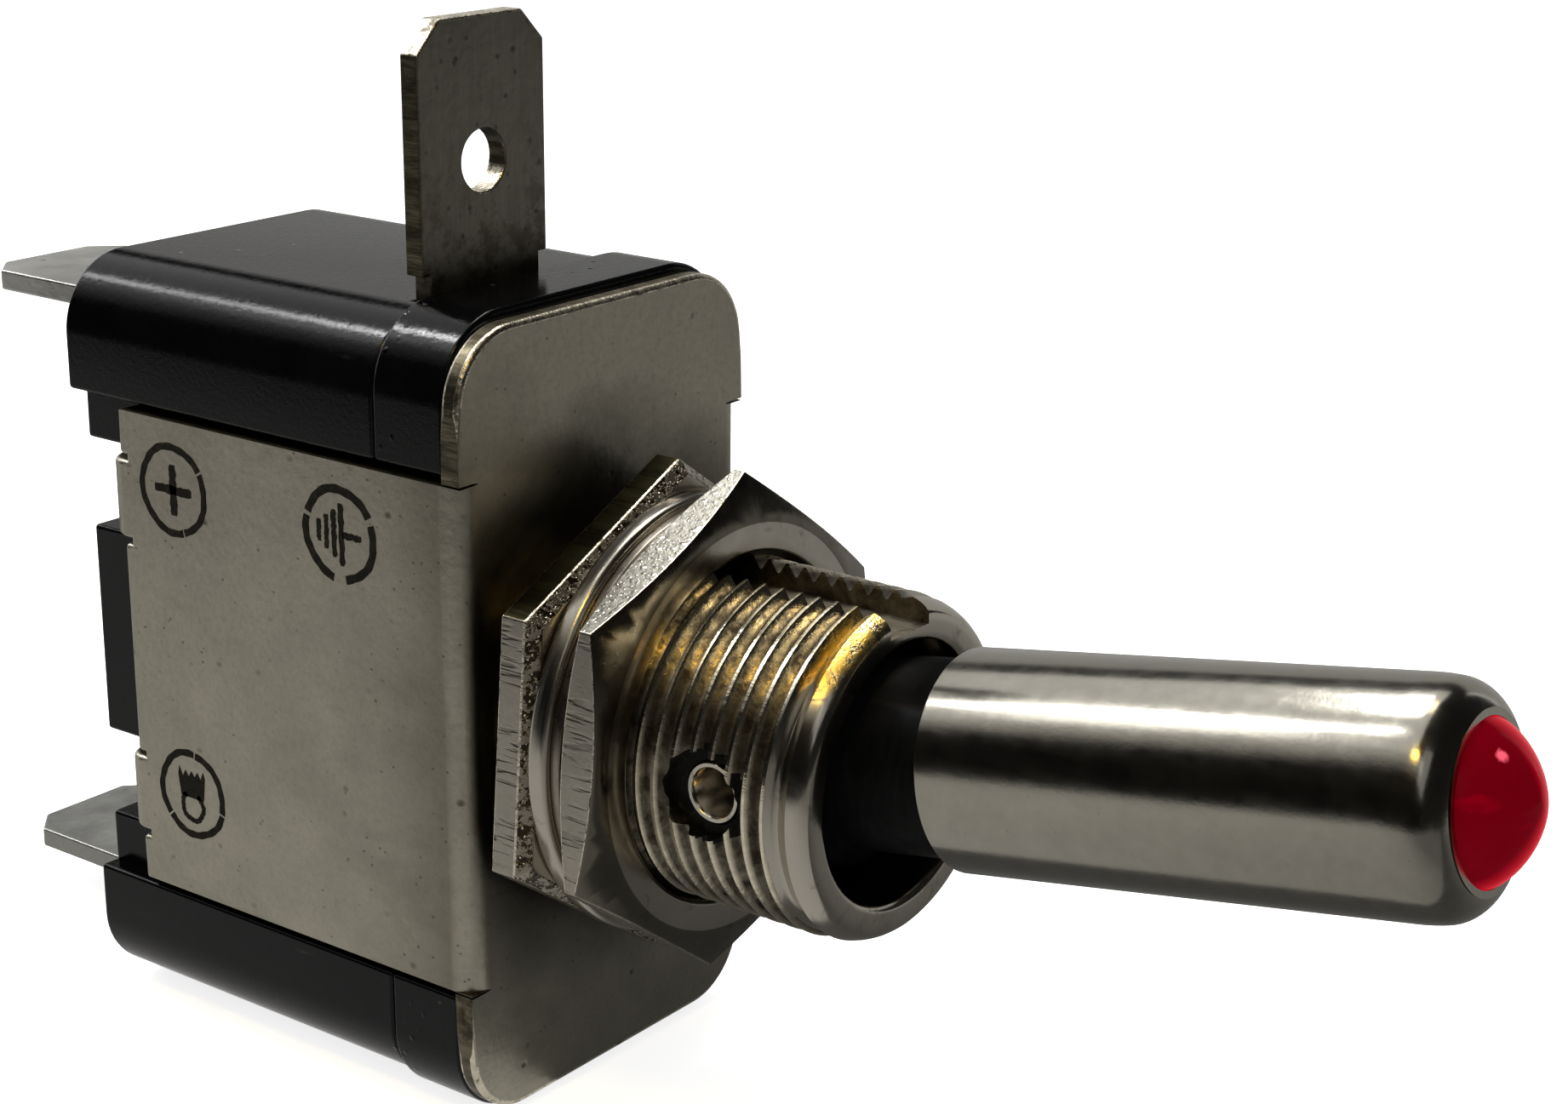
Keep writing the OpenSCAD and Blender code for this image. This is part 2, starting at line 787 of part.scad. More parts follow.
module contact_rocker()
    color([0.78, 0.5, 0.28])
        rocker_pose()
            along_x(-rocker_w / 2, rocker_w)
                rocker_section();

module moving_contact()
    color([0.86, 0.86, 0.88])
        rocker_pose()
            translate([0, -rocker_face, 0])
                rotate([rocker_bend, 0, 0])
                    translate([0, 0, contact_at])
                        along_y(rocker_t, contact_t)
                            circle(contact_r);

module fixed_contact()
    color([0.86, 0.86, 0.88])
        translate([0, 0, contact_z])
            along_y(contact_y, contact_t)
                circle(contact_r);

// Saddle that the rocker's knuckle sits in
module rocker_cradle()
    color([0.78, 0.6, 0.3])
        difference() {
            translate([-rocker_w / 2 + cradle_inset, rocker_y + cradle_gap, -cradle_h / 2])
                cube([rocker_w - 2 * cradle_inset, leg_y - rocker_y - cradle_gap, cradle_h]);
            along_x(-rocker_w, 2 * rocker_w)
                translate([rocker_y, 0])
                    circle(knuckle_r + knuckle_fit);
        }

// Rear terminal: a blade through the base, and a leg down the rear of the chamber
module rear_terminal(z, leg_w, leg_end) {
    translate([0, boss_y + blade_len, z - blade_t / 2])
        linear_extrude(blade_t)
            blade_outline(blade_w, boss_y + blade_len - chamber_y, rear_hole_at);
    translate([-blade_w / 2, leg_y, z - blade_t / 2])
        cube([blade_w, blade_t + eps, blade_t]);
    difference() {
        union() {
            translate([-blade_w / 2, leg_y, rivet_z - 2])
                cube([blade_w, blade_t, z + blade_t / 2 - rivet_z + 2]);
            translate([-leg_w / 2, leg_y, leg_end])
                cube([leg_w, blade_t, rivet_z - leg_end]);
        }
        translate([0, 0, rivet_z])
            along_y(leg_y - 1, blade_t + 2)
                circle(rivet_r);
    }
}

module supply_terminal()
    color([0.62, 0.62, 0.6])
        rear_terminal(supply_z, 2 * contact_r + 1.2, contact_z - contact_r - 0.6);

module load_terminal()
    color([0.62, 0.62, 0.6])
        mirror([0, 0, 1])
            rear_terminal(load_z, load_leg_w, -cradle_h / 2);

module terminal_rivet(z)
    translate([0, 0, z])
        spin_y()
            polygon([
                [0, leg_y - rivet_head_t],
                [rivet_head_r - rivet_dome, leg_y - rivet_head_t],
                [rivet_head_r, leg_y - rivet_head_t + rivet_dome],
                [rivet_head_r, leg_y],
                [rivet_r, leg_y],
                [rivet_r, chamber_y + rivet_depth],
                [0, chamber_y + rivet_depth]
            ]);

module supply_rivet()
    color([0.8, 0.65, 0.35])
        terminal_rivet(rivet_z);

module load_rivet()
    color([0.8, 0.65, 0.35])
        terminal_rivet(-rivet_z);

// Ground blade, its neck down through the seam, and a foot forward to the bracket's plate
module ground_terminal()
    color([0.45, 0.44, 0.42])
        translate([ground_x, 0, 0]) {
            translate([0, 0, ground_top])
                along_y(seam_y, blade_t)
                    blade_outline(blade_w, ground_top - shoulder_z, ground_hole_at);
            translate([-neck_w / 2, seam_y, foot_z])
                cube([neck_w, blade_t, shoulder_z - foot_z + eps]);
            translate([-neck_w / 2, sheet_t, foot_z])
                cube([neck_w, cover_d + eps, blade_t]);
        }

bracket();
front_cover();
base_housing();
threaded_bushing();
rear_nut();
flat_washer();
lock_washer();
front_nut();
pivot_pin();
lever_core();
lever_sleeve();
led();
led_resistor();
anode_wire();
cathode_wire();
plunger();
plunger_spring();
contact_rocker();
moving_contact();
fixed_contact();
rocker_cradle();
supply_terminal();
load_terminal();
ground_terminal();
supply_rivet();
load_rivet();
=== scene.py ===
import json
import math
import random

import bmesh
import bpy
from mathutils import Matrix, Vector


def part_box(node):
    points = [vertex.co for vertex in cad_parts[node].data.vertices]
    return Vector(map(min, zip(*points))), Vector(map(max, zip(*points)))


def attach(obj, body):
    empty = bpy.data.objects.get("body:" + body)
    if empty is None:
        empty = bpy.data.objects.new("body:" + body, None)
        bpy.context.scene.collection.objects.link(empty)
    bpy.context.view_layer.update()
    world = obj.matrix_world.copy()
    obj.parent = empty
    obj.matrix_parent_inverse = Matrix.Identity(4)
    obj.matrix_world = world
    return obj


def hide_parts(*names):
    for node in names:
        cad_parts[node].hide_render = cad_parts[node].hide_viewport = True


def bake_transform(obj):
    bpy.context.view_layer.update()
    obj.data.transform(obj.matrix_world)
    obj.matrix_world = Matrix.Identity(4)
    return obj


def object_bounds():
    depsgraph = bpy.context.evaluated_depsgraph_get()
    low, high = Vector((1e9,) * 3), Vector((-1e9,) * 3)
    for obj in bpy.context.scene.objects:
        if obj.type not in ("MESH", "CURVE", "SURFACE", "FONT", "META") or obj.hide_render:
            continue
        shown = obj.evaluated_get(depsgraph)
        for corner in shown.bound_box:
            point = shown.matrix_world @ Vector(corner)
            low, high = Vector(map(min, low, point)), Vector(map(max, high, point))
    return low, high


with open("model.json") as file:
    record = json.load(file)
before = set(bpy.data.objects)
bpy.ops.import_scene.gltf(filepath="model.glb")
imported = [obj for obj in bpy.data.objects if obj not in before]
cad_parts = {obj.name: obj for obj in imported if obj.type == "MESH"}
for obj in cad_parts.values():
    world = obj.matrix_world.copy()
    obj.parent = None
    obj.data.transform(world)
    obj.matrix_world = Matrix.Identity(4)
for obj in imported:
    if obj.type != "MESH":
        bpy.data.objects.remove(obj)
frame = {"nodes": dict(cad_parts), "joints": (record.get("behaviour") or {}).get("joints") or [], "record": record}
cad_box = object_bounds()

MM = 0.001

# ---------------- places, all from the frame

FLOOR_Z = cad_box[0].z
JOINTS = {j["name"]: j for j in frame["joints"]}

THREAD_R = 6.0 * MM
BUSHING_LO, BUSHING_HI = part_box("threaded_bushing")
PIVOT = Vector(JOINTS["lever_pivot"]["pos_m"])
LEVER_TILT = math.radians(JOINTS["lever_pivot"]["range_deg"][1] / 2)
LEVER = Matrix.Translation(PIVOT) @ Matrix.Rotation(-LEVER_TILT, 4, "X")
WING_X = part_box("bracket")[0].x
SHEET_T = 0.8 * MM
WING_HALF = 9.2 * MM
SEAM_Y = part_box("base_housing")[0].y


def lever_box(node):
    """Lowest and highest corner of a CAD node in the lever's own frame, where -Y runs out of the bushing."""
    inverse = LEVER.inverted()
    points = [inverse @ v.co for v in frame["nodes"][node].data.vertices]
    low = Vector([min(p[i] for p in points) for i in range(3)])
    high = Vector([max(p[i] for p in points) for i in range(3)])
    return low, high


def lamp_sizes():
    """Radius, base and tip of the lamp's dome in the lever's own frame, and the end of the sleeve."""
    low, high = lever_box("led")
    seat = lever_box("lever_sleeve")[0].y
    return high.x - 0.4 * MM, seat + 0.3 * MM, low.y, seat


def dome_point(rise):
    """Radius and y of the dome, part sphere, part cone, at a rise from 0 at its base to 90 at its tip."""
    radius, base, tip, _ = lamp_sizes()
    rise = math.radians(rise)
    return radius * max(0.0, math.cos(rise)) ** 1.25, base - (base - tip) * math.sin(rise) ** 1.25


def put(name, data):
    """Makes an object of the data and links it into the scene."""
    thing = bpy.data.objects.new(name, data)
    bpy.context.scene.collection.objects.link(thing)
    return thing


# ---------------- camera

def make_camera():
    azimuth, elevation, roll = math.radians(-53.41), math.radians(17.70), math.radians(0.57)
    target = Vector((-3.57, -10.32, 8.14)) * MM
    distance = 90.39 * MM
    back = Vector((
        math.sin(azimuth) * math.cos(elevation),
        -math.cos(azimuth) * math.cos(elevation),
        math.sin(elevation),
    ))
    right = (-back).cross(Vector((0, 0, 1))).normalized()
    up = right.cross(-back)
    rolled_right = right * math.cos(roll) + up * math.sin(roll)
    rolled_up = up * math.cos(roll) - right * math.sin(roll)
    data = bpy.data.cameras.new("camera")
    data.sensor_fit = "HORIZONTAL"
    data.sensor_width = 36
    data.lens = 64.94
    data.clip_start, data.clip_end = 0.001, 10
    camera = put("camera", data)
    turn = Matrix((rolled_right, rolled_up, back)).transposed().to_4x4()
    camera.matrix_world = Matrix.Translation(target + back * distance) @ turn
    bpy.context.scene.camera = camera


# ---------------- node helpers

class Nodes:
    """A short way to write a material or a world: each call adds one node and returns its output."""

    def __init__(self, name, kind="materials"):
        self.owner = getattr(bpy.data, kind).new(name)
        self.owner.use_nodes = True
        self.tree = self.owner.node_tree
        self.tree.nodes.clear()

    def add(self, kind, **props):
        node = self.tree.nodes.new(kind)
        for key, value in props.items():
            setattr(node, key, value)
        return node

    def feed(self, socket, value):
        if isinstance(value, bpy.types.NodeSocket):
            self.tree.links.new(value, socket)
        elif value is not None:
            socket.default_value = value

    def place(self):
        return self.add("ShaderNodeTexCoord").outputs["Object"]

    def scaled(self, vector, scale, turn=(0, 0, 0)):
        node = self.add("ShaderNodeMapping")
        self.feed(node.inputs["Vector"], vector)
        node.inputs["Scale"].default_value = scale
        node.inputs["Rotation"].default_value = turn
        return node.outputs["Vector"]

    def noise(self, vector, scale, detail=3, roughness=0.55, distortion=0):
        node = self.add("ShaderNodeTexNoise")
        self.feed(node.inputs["Vector"], vector)
        node.inputs["Scale"].default_value = scale
        node.inputs["Detail"].default_value = detail
        node.inputs["Roughness"].default_value = roughness
        node.inputs["Distortion"].default_value = distortion
        return node.outputs["Fac"]

    def cells(self, vector, scale):
        node = self.add("ShaderNodeTexVoronoi")
        self.feed(node.inputs["Vector"], vector)
        node.inputs["Scale"].default_value = scale
        return node.outputs["Distance"]

    def maths(self, how, a, b, clamp=False):
        node = self.add("ShaderNodeMath", operation=how, use_clamp=clamp)
        self.feed(node.inputs[0], a)
        self.feed(node.inputs[1], b)
        return node.outputs[0]

    def times(self, a, b):
        return self.maths("MULTIPLY", a, b)

    def plus(self, a, b, clamp=False):
        return self.maths("ADD", a, b, clamp)

    def minus(self, a, b):
        return self.maths("SUBTRACT", a, b)

    def most(self, a, b):
        return self.maths("MAXIMUM", a, b)

    def axes(self, vector):
        node = self.add("ShaderNodeSeparateXYZ")
        self.feed(node.inputs[0], vector)
        return node.outputs

    def off_axis(self, axes):
        """Distance from the bushing's axis."""
        flat = self.add("ShaderNodeCombineXYZ")
        self.feed(flat.inputs["X"], axes["X"])
        self.feed(flat.inputs["Z"], axes["Z"])
        length = self.add("ShaderNodeVectorMath", operation="LENGTH")
        self.feed(length.inputs[0], flat.outputs[0])
        return length.outputs["Value"]

    def seen(self):
        """1 where the camera, the gloss or clear material looks, and 0 for the light that falls on things."""
        path = self.add("ShaderNodeLightPath").outputs
        return self.most(self.most(path["Is Camera Ray"], path["Is Glossy Ray"]), path["Is Transmission Ray"])

    def spread(self, value, low, high, to_low=0.0, to_high=1.0):
        node = self.add("ShaderNodeMapRange", clamp=True)
        self.feed(node.inputs["Value"], value)
        self.feed(node.inputs["From Min"], low)
        self.feed(node.inputs["From Max"], high)
        self.feed(node.inputs["To Min"], to_low)
        self.feed(node.inputs["To Max"], to_high)
        return node.outputs["Result"]

    def blend(self, amount, a, b):
        node = self.add("ShaderNodeMix", data_type="RGBA")
        self.feed(node.inputs["Factor"], amount)
        self.feed(node.inputs["A"], colour(a))
        self.feed(node.inputs["B"], colour(b))
        return node.outputs["Result"]

    def over(self, base, mask, share, tone):
        """The base with that share of a tone laid over it where the mask is."""
        return self.blend(self.times(mask, share), base, tone)

    def bump(self, height, strength, distance):
        """distance is in millimetres."""
        node = self.add("ShaderNodeBump")
        self.feed(node.inputs["Height"], height)
        node.inputs["Strength"].default_value = strength
        node.inputs["Distance"].default_value = distance * MM
        return node.outputs["Normal"]

    def apart(self, vector, place, jitter):
        """Distance from a place, shifted by a noise, which tears the outline of a spot drawn with it."""
        shifted = self.add("ShaderNodeVectorMath", operation="ADD")
        self.feed(shifted.inputs[0], vector)
        self.feed(shifted.inputs[1], self.times(self.minus(jitter, 0.5), 0.35 * MM))
        node = self.add("ShaderNodeVectorMath", operation="DISTANCE")
        self.feed(node.inputs[0], shifted.outputs["Vector"])
        node.inputs[1].default_value = place
        return node.outputs["Value"]

    def end(self, shader, kind="ShaderNodeOutputMaterial"):
        out = self.add(kind)
        self.tree.links.new(shader.outputs[0], out.inputs["Surface"])
        return self.owner

    def surface(self, base, rough, normal=None, metallic=0.0, **more):
        shader = self.add("ShaderNodeBsdfPrincipled")
        self.feed(shader.inputs["Base Color"], colour(base))
        self.feed(shader.inputs["Roughness"], rough)
        self.feed(shader.inputs["Normal"], normal)
        shader.inputs["Metallic"].default_value = metallic
        for key, value in more.items():
            self.feed(shader.inputs[key.replace("_", " ")], value)
        return self.end(shader)


def colour(value):
    return (*value, 1.0) if isinstance(value, tuple) and len(value) == 3 else value


def shade(tone, share):
    return tuple(c * share for c in tone)


def begin(name):
    n = Nodes(name)
    return n, n.place()


# ---------------- materials
# Coordinates are the object's own, in metres, so a scale of 1000 gives one feature a millimetre.

DIRT = (0.045, 0.032, 0.02)


def plated_sheet(name, tone, rough=0.36, grain=(1, 1, 1), grime=False, foot=None):
    """Satin nickel on stamped sheet: cloudy plating, pinholes, tarnish in patches and a little orange peel.

    grime adds stain specks that thicken towards the wings' bends, and paints shade: the wings darkened towards
    their bends, and a near-black painted shadow on the plate round the nuts.
    foot is the two heights, in millimetres, between which brown stains thicken downwards.
    """
    stain = (0.075, 0.058, 0.036)
    n, at = begin(name)
    cloud = n.noise(at, 260, 5, 0.6)
    patches = n.noise(n.scaled(at, (1.0, 0.8, 1.3)), 110, 4, 0.65, 0.4)
    fine = n.noise(n.scaled(at, grain), 4200, 3, 0.7)
    pit_field = n.cells(n.scaled(at, (1.0, 0.85, 1.1)), 900)
    pit_where = n.spread(n.noise(at, 420, 2), 0.5, 0.62)
    pits = n.times(n.spread(pit_field, 0.16, 0.05), pit_where)
    base = n.blend(n.spread(cloud, 0.32, 0.7), shade(tone, 0.82), shade(tone, 1.12))
    base = n.over(base, n.spread(patches, 0.56, 0.8), 0.4, stain)
    base = n.over(base, n.spread(fine, 0.45, 0.8), 0.25, shade(tone, 0.5))
    base = n.over(base, pits, 0.75, stain)
    axes = n.axes(at)
    if foot:
        low = n.spread(axes["Z"], foot[0] * MM, foot[1] * MM)
        blots = n.spread(n.plus(n.noise(at, 900, 5, 0.75), n.times(low, 0.14)), 0.56, 0.68)
        base = n.over(base, blots, n.times(low, 0.7), stain)
        scars = n.times(n.spread(n.cells(at, 1500), 0.2, 0.07), n.spread(n.noise(at, 600, 2), 0.44, 0.54))
        base = n.over(base, scars, 0.7, (0.04, 0.033, 0.024))
    if grime:
        # Painted shade: the wing darkens in ragged patches towards its bend.
        wing = n.spread(axes["Y"], 0.5 * MM, 1.0 * MM)
        bend = n.times(n.spread(axes["Y"], 6.5 * MM, 1.2 * MM), wing)
        bend_shade_patches = n.plus(bend, n.times(n.minus(patches, 0.5), 1.2), True)
        base = n.over(base, n.times(bend_shade_patches, bend), 0.5, (0.08, 0.066, 0.045))
        dots = n.spread(n.cells(n.scaled(at, (1, 0.9, 1.2)), 2100), 0.17, 0.06)
        where = n.plus(n.noise(at, 700, 3), n.times(bend, 0.16))
        dots = n.times(dots, n.spread(where, 0.50, 0.60))
        base = n.over(base, dots, 0.7, stain)
        # Painted shadow: the plate's front goes near-black in a ragged ring round the bushing and nuts.
        wobble = n.times(n.minus(patches, 0.5), 5 * MM)
        near = n.spread(n.plus(n.off_axis(axes), wobble), 11.5 * MM, 7.5 * MM)
        front = n.spread(axes["Y"], 0.3 * MM, 0.05 * MM)
        base = n.over(base, n.times(near, front), 0.9, (0.018, 0.016, 0.010))
    rough_map = n.spread(n.plus(n.times(cloud, 0.6), n.times(fine, 0.4)),
                         0.3, 0.7, rough - 0.07, rough + 0.1)
    peel = n.noise(at, 2000, 2, 0.5)
    height = n.minus(n.plus(n.times(fine, 0.35), cloud), pits)
    height = n.plus(height, n.times(peel, 0.9))
    return n.surface(base, rough_map, n.bump(height, 0.42, 0.04), metallic=1.0)


def bright_nickel(name, tone, rough=0.2, lines=(1, 1, 1), line_scale=2600, depth=0.25, dirt_low=0.58,
                  dirt_mix=0.45):
    """Bright nickel over turned brass. lines stretches the tool marks along the axis of its small number."""
    n, at = begin(name)
    marks = n.noise(n.scaled(at, lines), line_scale, 4, 0.65)
    cloud = n.noise(at, 300, 4, 0.6)
    dirt = n.noise(at, 650, 5, 0.7, 0.6)
    base = n.blend(n.spread(cloud, 0.3, 0.7), shade(tone, 0.8), tone)
    base = n.over(base, n.spread(marks, 0.62, 0.75), 0.3, shade(tone, 0.4))
    base = n.over(base, n.spread(dirt, dirt_low, dirt_low + 0.14), dirt_mix, DIRT)
    rough_map = n.spread(n.plus(marks, n.times(dirt, 0.5)), 0.5, 1.0, rough, rough + 0.16)
    return n.surface(base, rough_map, n.bump(marks, depth, 0.05), metallic=1.0)


def nose_metal(name, tone):
    """Nose and bore of the bushing: grimy satin nickel, with a bright gold-coloured patch on the upper-left that
    is partly brass rubbed through and partly a painted highlight where the lamps fall.
    """
    n, at = begin(name)
    axes = n.axes(at)
    marks = n.noise(n.scaled(at, (0.3, 2, 0.3)), 900, 4, 0.65)
    dirt = n.noise(at, 650, 5, 0.7, 0.6)
    flakes = n.noise(at, 2600, 4, 0.75)
    # Partly painted highlight: a bright gold patch on the nose's upper-left side, where the lamps fall.
    lean = n.plus(n.times(axes["X"], -0.42), n.times(axes["Z"], 0.91))
    side = n.spread(n.plus(lean, n.times(dirt, 0.5 * MM)), 5.6 * MM, 5.95 * MM)
    band = n.spread(axes["Y"], BUSHING_LO.y + 1.5 * MM, BUSHING_LO.y + 1.2 * MM)
    brass = n.times(n.times(side, band), n.spread(flakes, 0.34, 0.5))
    base = n.blend(n.times(n.spread(marks, 0.62, 0.75), 0.3), tone, shade(tone, 0.4))
    base = n.over(base, n.spread(dirt, 0.58, 0.72), 0.5, DIRT)
    base = n.blend(brass, base, (1.0, 0.70, 0.17))
    rough_map = n.spread(n.most(brass, n.times(n.spread(dirt, 0.5, 0.75), 0.8)), 0.0, 1.0, 0.17, 0.34)
    height = n.plus(marks, n.times(n.times(brass, flakes), 3.0))
    return n.surface(base, rough_map, n.bump(height, 0.25, 0.05), metallic=1.0)


def tooled_flat(name, tone):
    """Satin side of a nut: short tool marks along the thread's axis, fine grain and a few dark nicks."""
    n, at = begin(name)
    marks = n.noise(n.scaled(at, (1, 0.1, 1), (0.05, 0, 0)), 4200, 2, 0.5)
    where = n.noise(at, 620, 2)
    lines = n.times(n.spread(marks, 0.54, 0.64), n.spread(where, 0.38, 0.6))
    fine = n.noise(at, 6500, 3, 0.7)
    cloud = n.noise(at, 330, 4, 0.6)
    nicks = n.times(n.spread(n.cells(at, 1250), 0.16, 0.07), n.spread(n.noise(at, 700, 2), 0.5, 0.6))
    base = n.blend(n.spread(cloud, 0.3, 0.7), shade(tone, 0.84), shade(tone, 1.08))
    base = n.over(base, lines, 0.5, shade(tone, 0.4))
    base = n.over(base, nicks, 0.8, (0.04, 0.034, 0.024))
    rough_map = n.spread(fine, 0.3, 0.7, 0.26, 0.36)
    height = n.minus(n.times(fine, 0.25), n.plus(lines, nicks))
    return n.surface(base, rough_map, n.bump(height, 0.5, 0.04), metallic=1.0)


def speckled_flat(name, tone):
    """Grainy side of a nut: dark satin metal full of small bright glints."""
    n, at = begin(name)
    big = n.cells(n.scaled(at, (1, 0.6, 1)), 3000)
    small = n.cells(at, 5600)
    where = n.spread(n.noise(at, 900, 3), 0.36, 0.6, 0.3, 1.0)
    glints = n.most(n.spread(big, 0.26, 0.1), n.times(n.spread(small, 0.3, 0.12), 0.7))
    glints = n.times(glints, where)
    fine = n.noise(at, 5200, 4, 0.7)
    base = n.blend(n.spread(fine, 0.3, 0.7), shade(tone, 0.7), shade(tone, 1.2))
    base = n.blend(glints, base, (0.95, 0.94, 0.88))
    height = n.plus(n.times(fine, 0.5), glints)
    return n.surface(base, n.spread(fine, 0.3, 0.7, 0.24, 0.4), n.bump(height, 0.6, 0.04), metallic=1.0)


def pitted_bevel(name, tone):
    """Front bevel of the rear nut: worn metal with packed pits of grime and small bright beads."""
    n, at = begin(name)
    pits = n.spread(n.noise(n.scaled(at, (1, 0.8, 1)), 3000, 3, 0.75), 0.47, 0.55)
    beads = n.times(n.spread(n.cells(at, 6000), 0.32, 0.12), pits)
    fine = n.noise(at, 5200, 3, 0.7)
    base = n.blend(pits, tone, (0.045, 0.035, 0.022))
    base = n.blend(beads, base, (0.92, 0.9, 0.8))
    height = n.minus(n.plus(n.times(beads, 0.7), n.times(fine, 0.3)), pits)
    return n.surface(base, n.spread(beads, 0, 1, 0.34, 0.16), n.bump(height, 0.8, 0.06), metallic=1.0)


def thread_metal(name, tone):
    """Nickel thread: bright crests, brown-black dirt in the grooves, and the upper-left side rubbed down to brass,
    which is also made lighter and clean there as a painted highlight where the key light falls.
    """
    n, at = begin(name)
    axes = n.axes(at)
    radius = n.off_axis(axes)
    depth = n.spread(radius, THREAD_R - 0.02 * MM, THREAD_R - 0.16 * MM)
    dirt = n.noise(at, 900, 5, 0.7, 0.5)
    chatter = n.noise(n.scaled(at, (1, 0.15, 1)), 2600, 4, 0.7)
    under = n.spread(axes["Z"], 1.0 * MM, -4.5 * MM)
    soil = n.times(depth, n.spread(dirt, 0.3, 0.6, 0.55, 1.0))
    soil = n.times(soil, n.plus(0.9, n.times(under, 0.08)))
    # Partly painted highlight: the upper-left side, where the key light falls, is made lighter and brassy and its
    # grooves are cleared of dirt.
    lean = n.plus(n.times(axes["X"], -0.45), n.times(axes["Z"], 0.89))
    side = n.spread(n.maths("DIVIDE", lean, radius), 0.82, 0.96)
    flakes = n.spread(n.noise(at, 1500, 4, 0.75), 0.38, 0.56)
    rubbed = n.times(side, flakes)
    soil = n.times(soil, n.minus(1.0, n.times(rubbed, 0.9)))
    base = n.blend(n.spread(chatter, 0.35, 0.7), tone, shade(tone, 0.72))
    base = n.over(base, rubbed, 0.6, (0.86, 0.72, 0.45))
    base = n.blend(soil, base, (0.024, 0.016, 0.010))
    rough_map = n.spread(soil, 0.0, 0.8, 0.17, 0.42)
    height = n.plus(chatter, n.times(dirt, 0.8))
    return n.surface(base, rough_map, n.bump(height, 0.4, 0.05), metallic=1.0)


def satin_tube(name, tone, rough=0.165):
    """Drawn tube, satin nickel: faint lines along its length and a fine, slightly mottled sheen."""
    n, at = begin(name)
    lengthwise = n.scaled(at, (1, 0.02, 1), (LEVER_TILT, 0, 0))
    drawn = n.noise(lengthwise, 2200, 3, 0.6)
    mottle = n.noise(at, 1500, 4, 0.6)
    fine = n.noise(at, 7000, 2, 0.6)
    specks = n.spread(n.cells(at, 1300), 0.09, 0.03)
    streaks = n.noise(n.scaled(at, (1, 0.25, 1), (LEVER_TILT, 0, 0)), 800, 3, 0.6)
    base = n.blend(n.spread(mottle, 0.3, 0.75), shade(tone, 0.92), shade(tone, 1.06))
    base = n.over(base, specks, 0.3, shade(tone, 0.45))
    rough_map = n.spread(n.plus(n.times(mottle, 0.5), n.times(drawn, 0.5)),
                         0.3, 0.7, rough - 0.03, rough + 0.05)
    height = n.plus(n.times(drawn, 0.5), n.times(fine, 0.8))
    height = n.plus(height, n.times(streaks, 2.2))
    return n.surface(base, rough_map, n.bump(height, 0.12, 0.02), metallic=1.0)


def bakelite(name, tone=(0.0014, 0.0016, 0.0020), rough=0.12):
    """Black moulding: fine sparkle in the gloss, a few pale dust specks and short rub marks."""
    n, at = begin(name)
    grain = n.noise(at, 5200, 3, 0.7)
    swirl = n.noise(at, 240, 4, 0.6, 0.8)
    dust = n.times(n.spread(n.cells(at, 620), 0.07, 0.02), n.spread(n.noise(at, 300, 2), 0.45, 0.6))
    rubs = n.noise(n.scaled(at, (1, 0.12, 1), (0.5, 0.2, 0.3)), 1900, 2, 0.5)
    rub_mask = n.times(n.spread(rubs, 0.69, 0.76), n.spread(swirl, 0.5, 0.66))
    base = n.blend(n.spread(swirl, 0.3, 0.7), shade(tone, 0.8), shade(tone, 1.35))
    base = n.over(base, rub_mask, 0.3, (0.05, 0.05, 0.052))
    base = n.over(base, dust, 0.8, (0.16, 0.16, 0.15))
    rough_map = n.spread(n.plus(n.times(swirl, 0.2), n.times(grain, 0.8)),
                         0.35, 0.65, rough - 0.04, rough + 0.08)
    height = n.plus(grain, n.times(swirl, 0.3))
    axes = n.axes(at)
    seam = n.times(n.spread(axes["Y"], SEAM_Y - 2.0 * MM, SEAM_Y - 1.2 * MM),
                   n.spread(axes["Y"], SEAM_Y + 0.35 * MM, SEAM_Y + 0.1 * MM))
    bubbles = n.times(n.spread(n.cells(at, 2300), 0.3, 0.1), n.spread(n.noise(at, 520, 2), 0.52, 0.6))
    height = n.plus(height, n.times(n.times(seam, bubbles), 4.0))
    return n.surface(base, rough_map, n.bump(height, 0.26, 0.03), Specular_IOR_Level=0.17)


def lever_plastic(name):
    """Satin black collar."""
    n, at = begin(name)
    turned = n.noise(n.scaled(at, (1, 6, 1), (LEVER_TILT, 0, 0)), 700, 3, 0.6)
    fine = n.noise(at, 3800, 3, 0.7)
    base = n.blend(n.spread(turned, 0.3, 0.7), (0.0018, 0.002, 0.0022), (0.004, 0.0043, 0.0048))
    rough_map = n.spread(fine, 0.3, 0.7, 0.33, 0.5)
    height = n.plus(turned, n.times(fine, 0.5))
    return n.surface(base, rough_map, n.bump(height, 0.18, 0.03), Specular_IOR_Level=0.05)


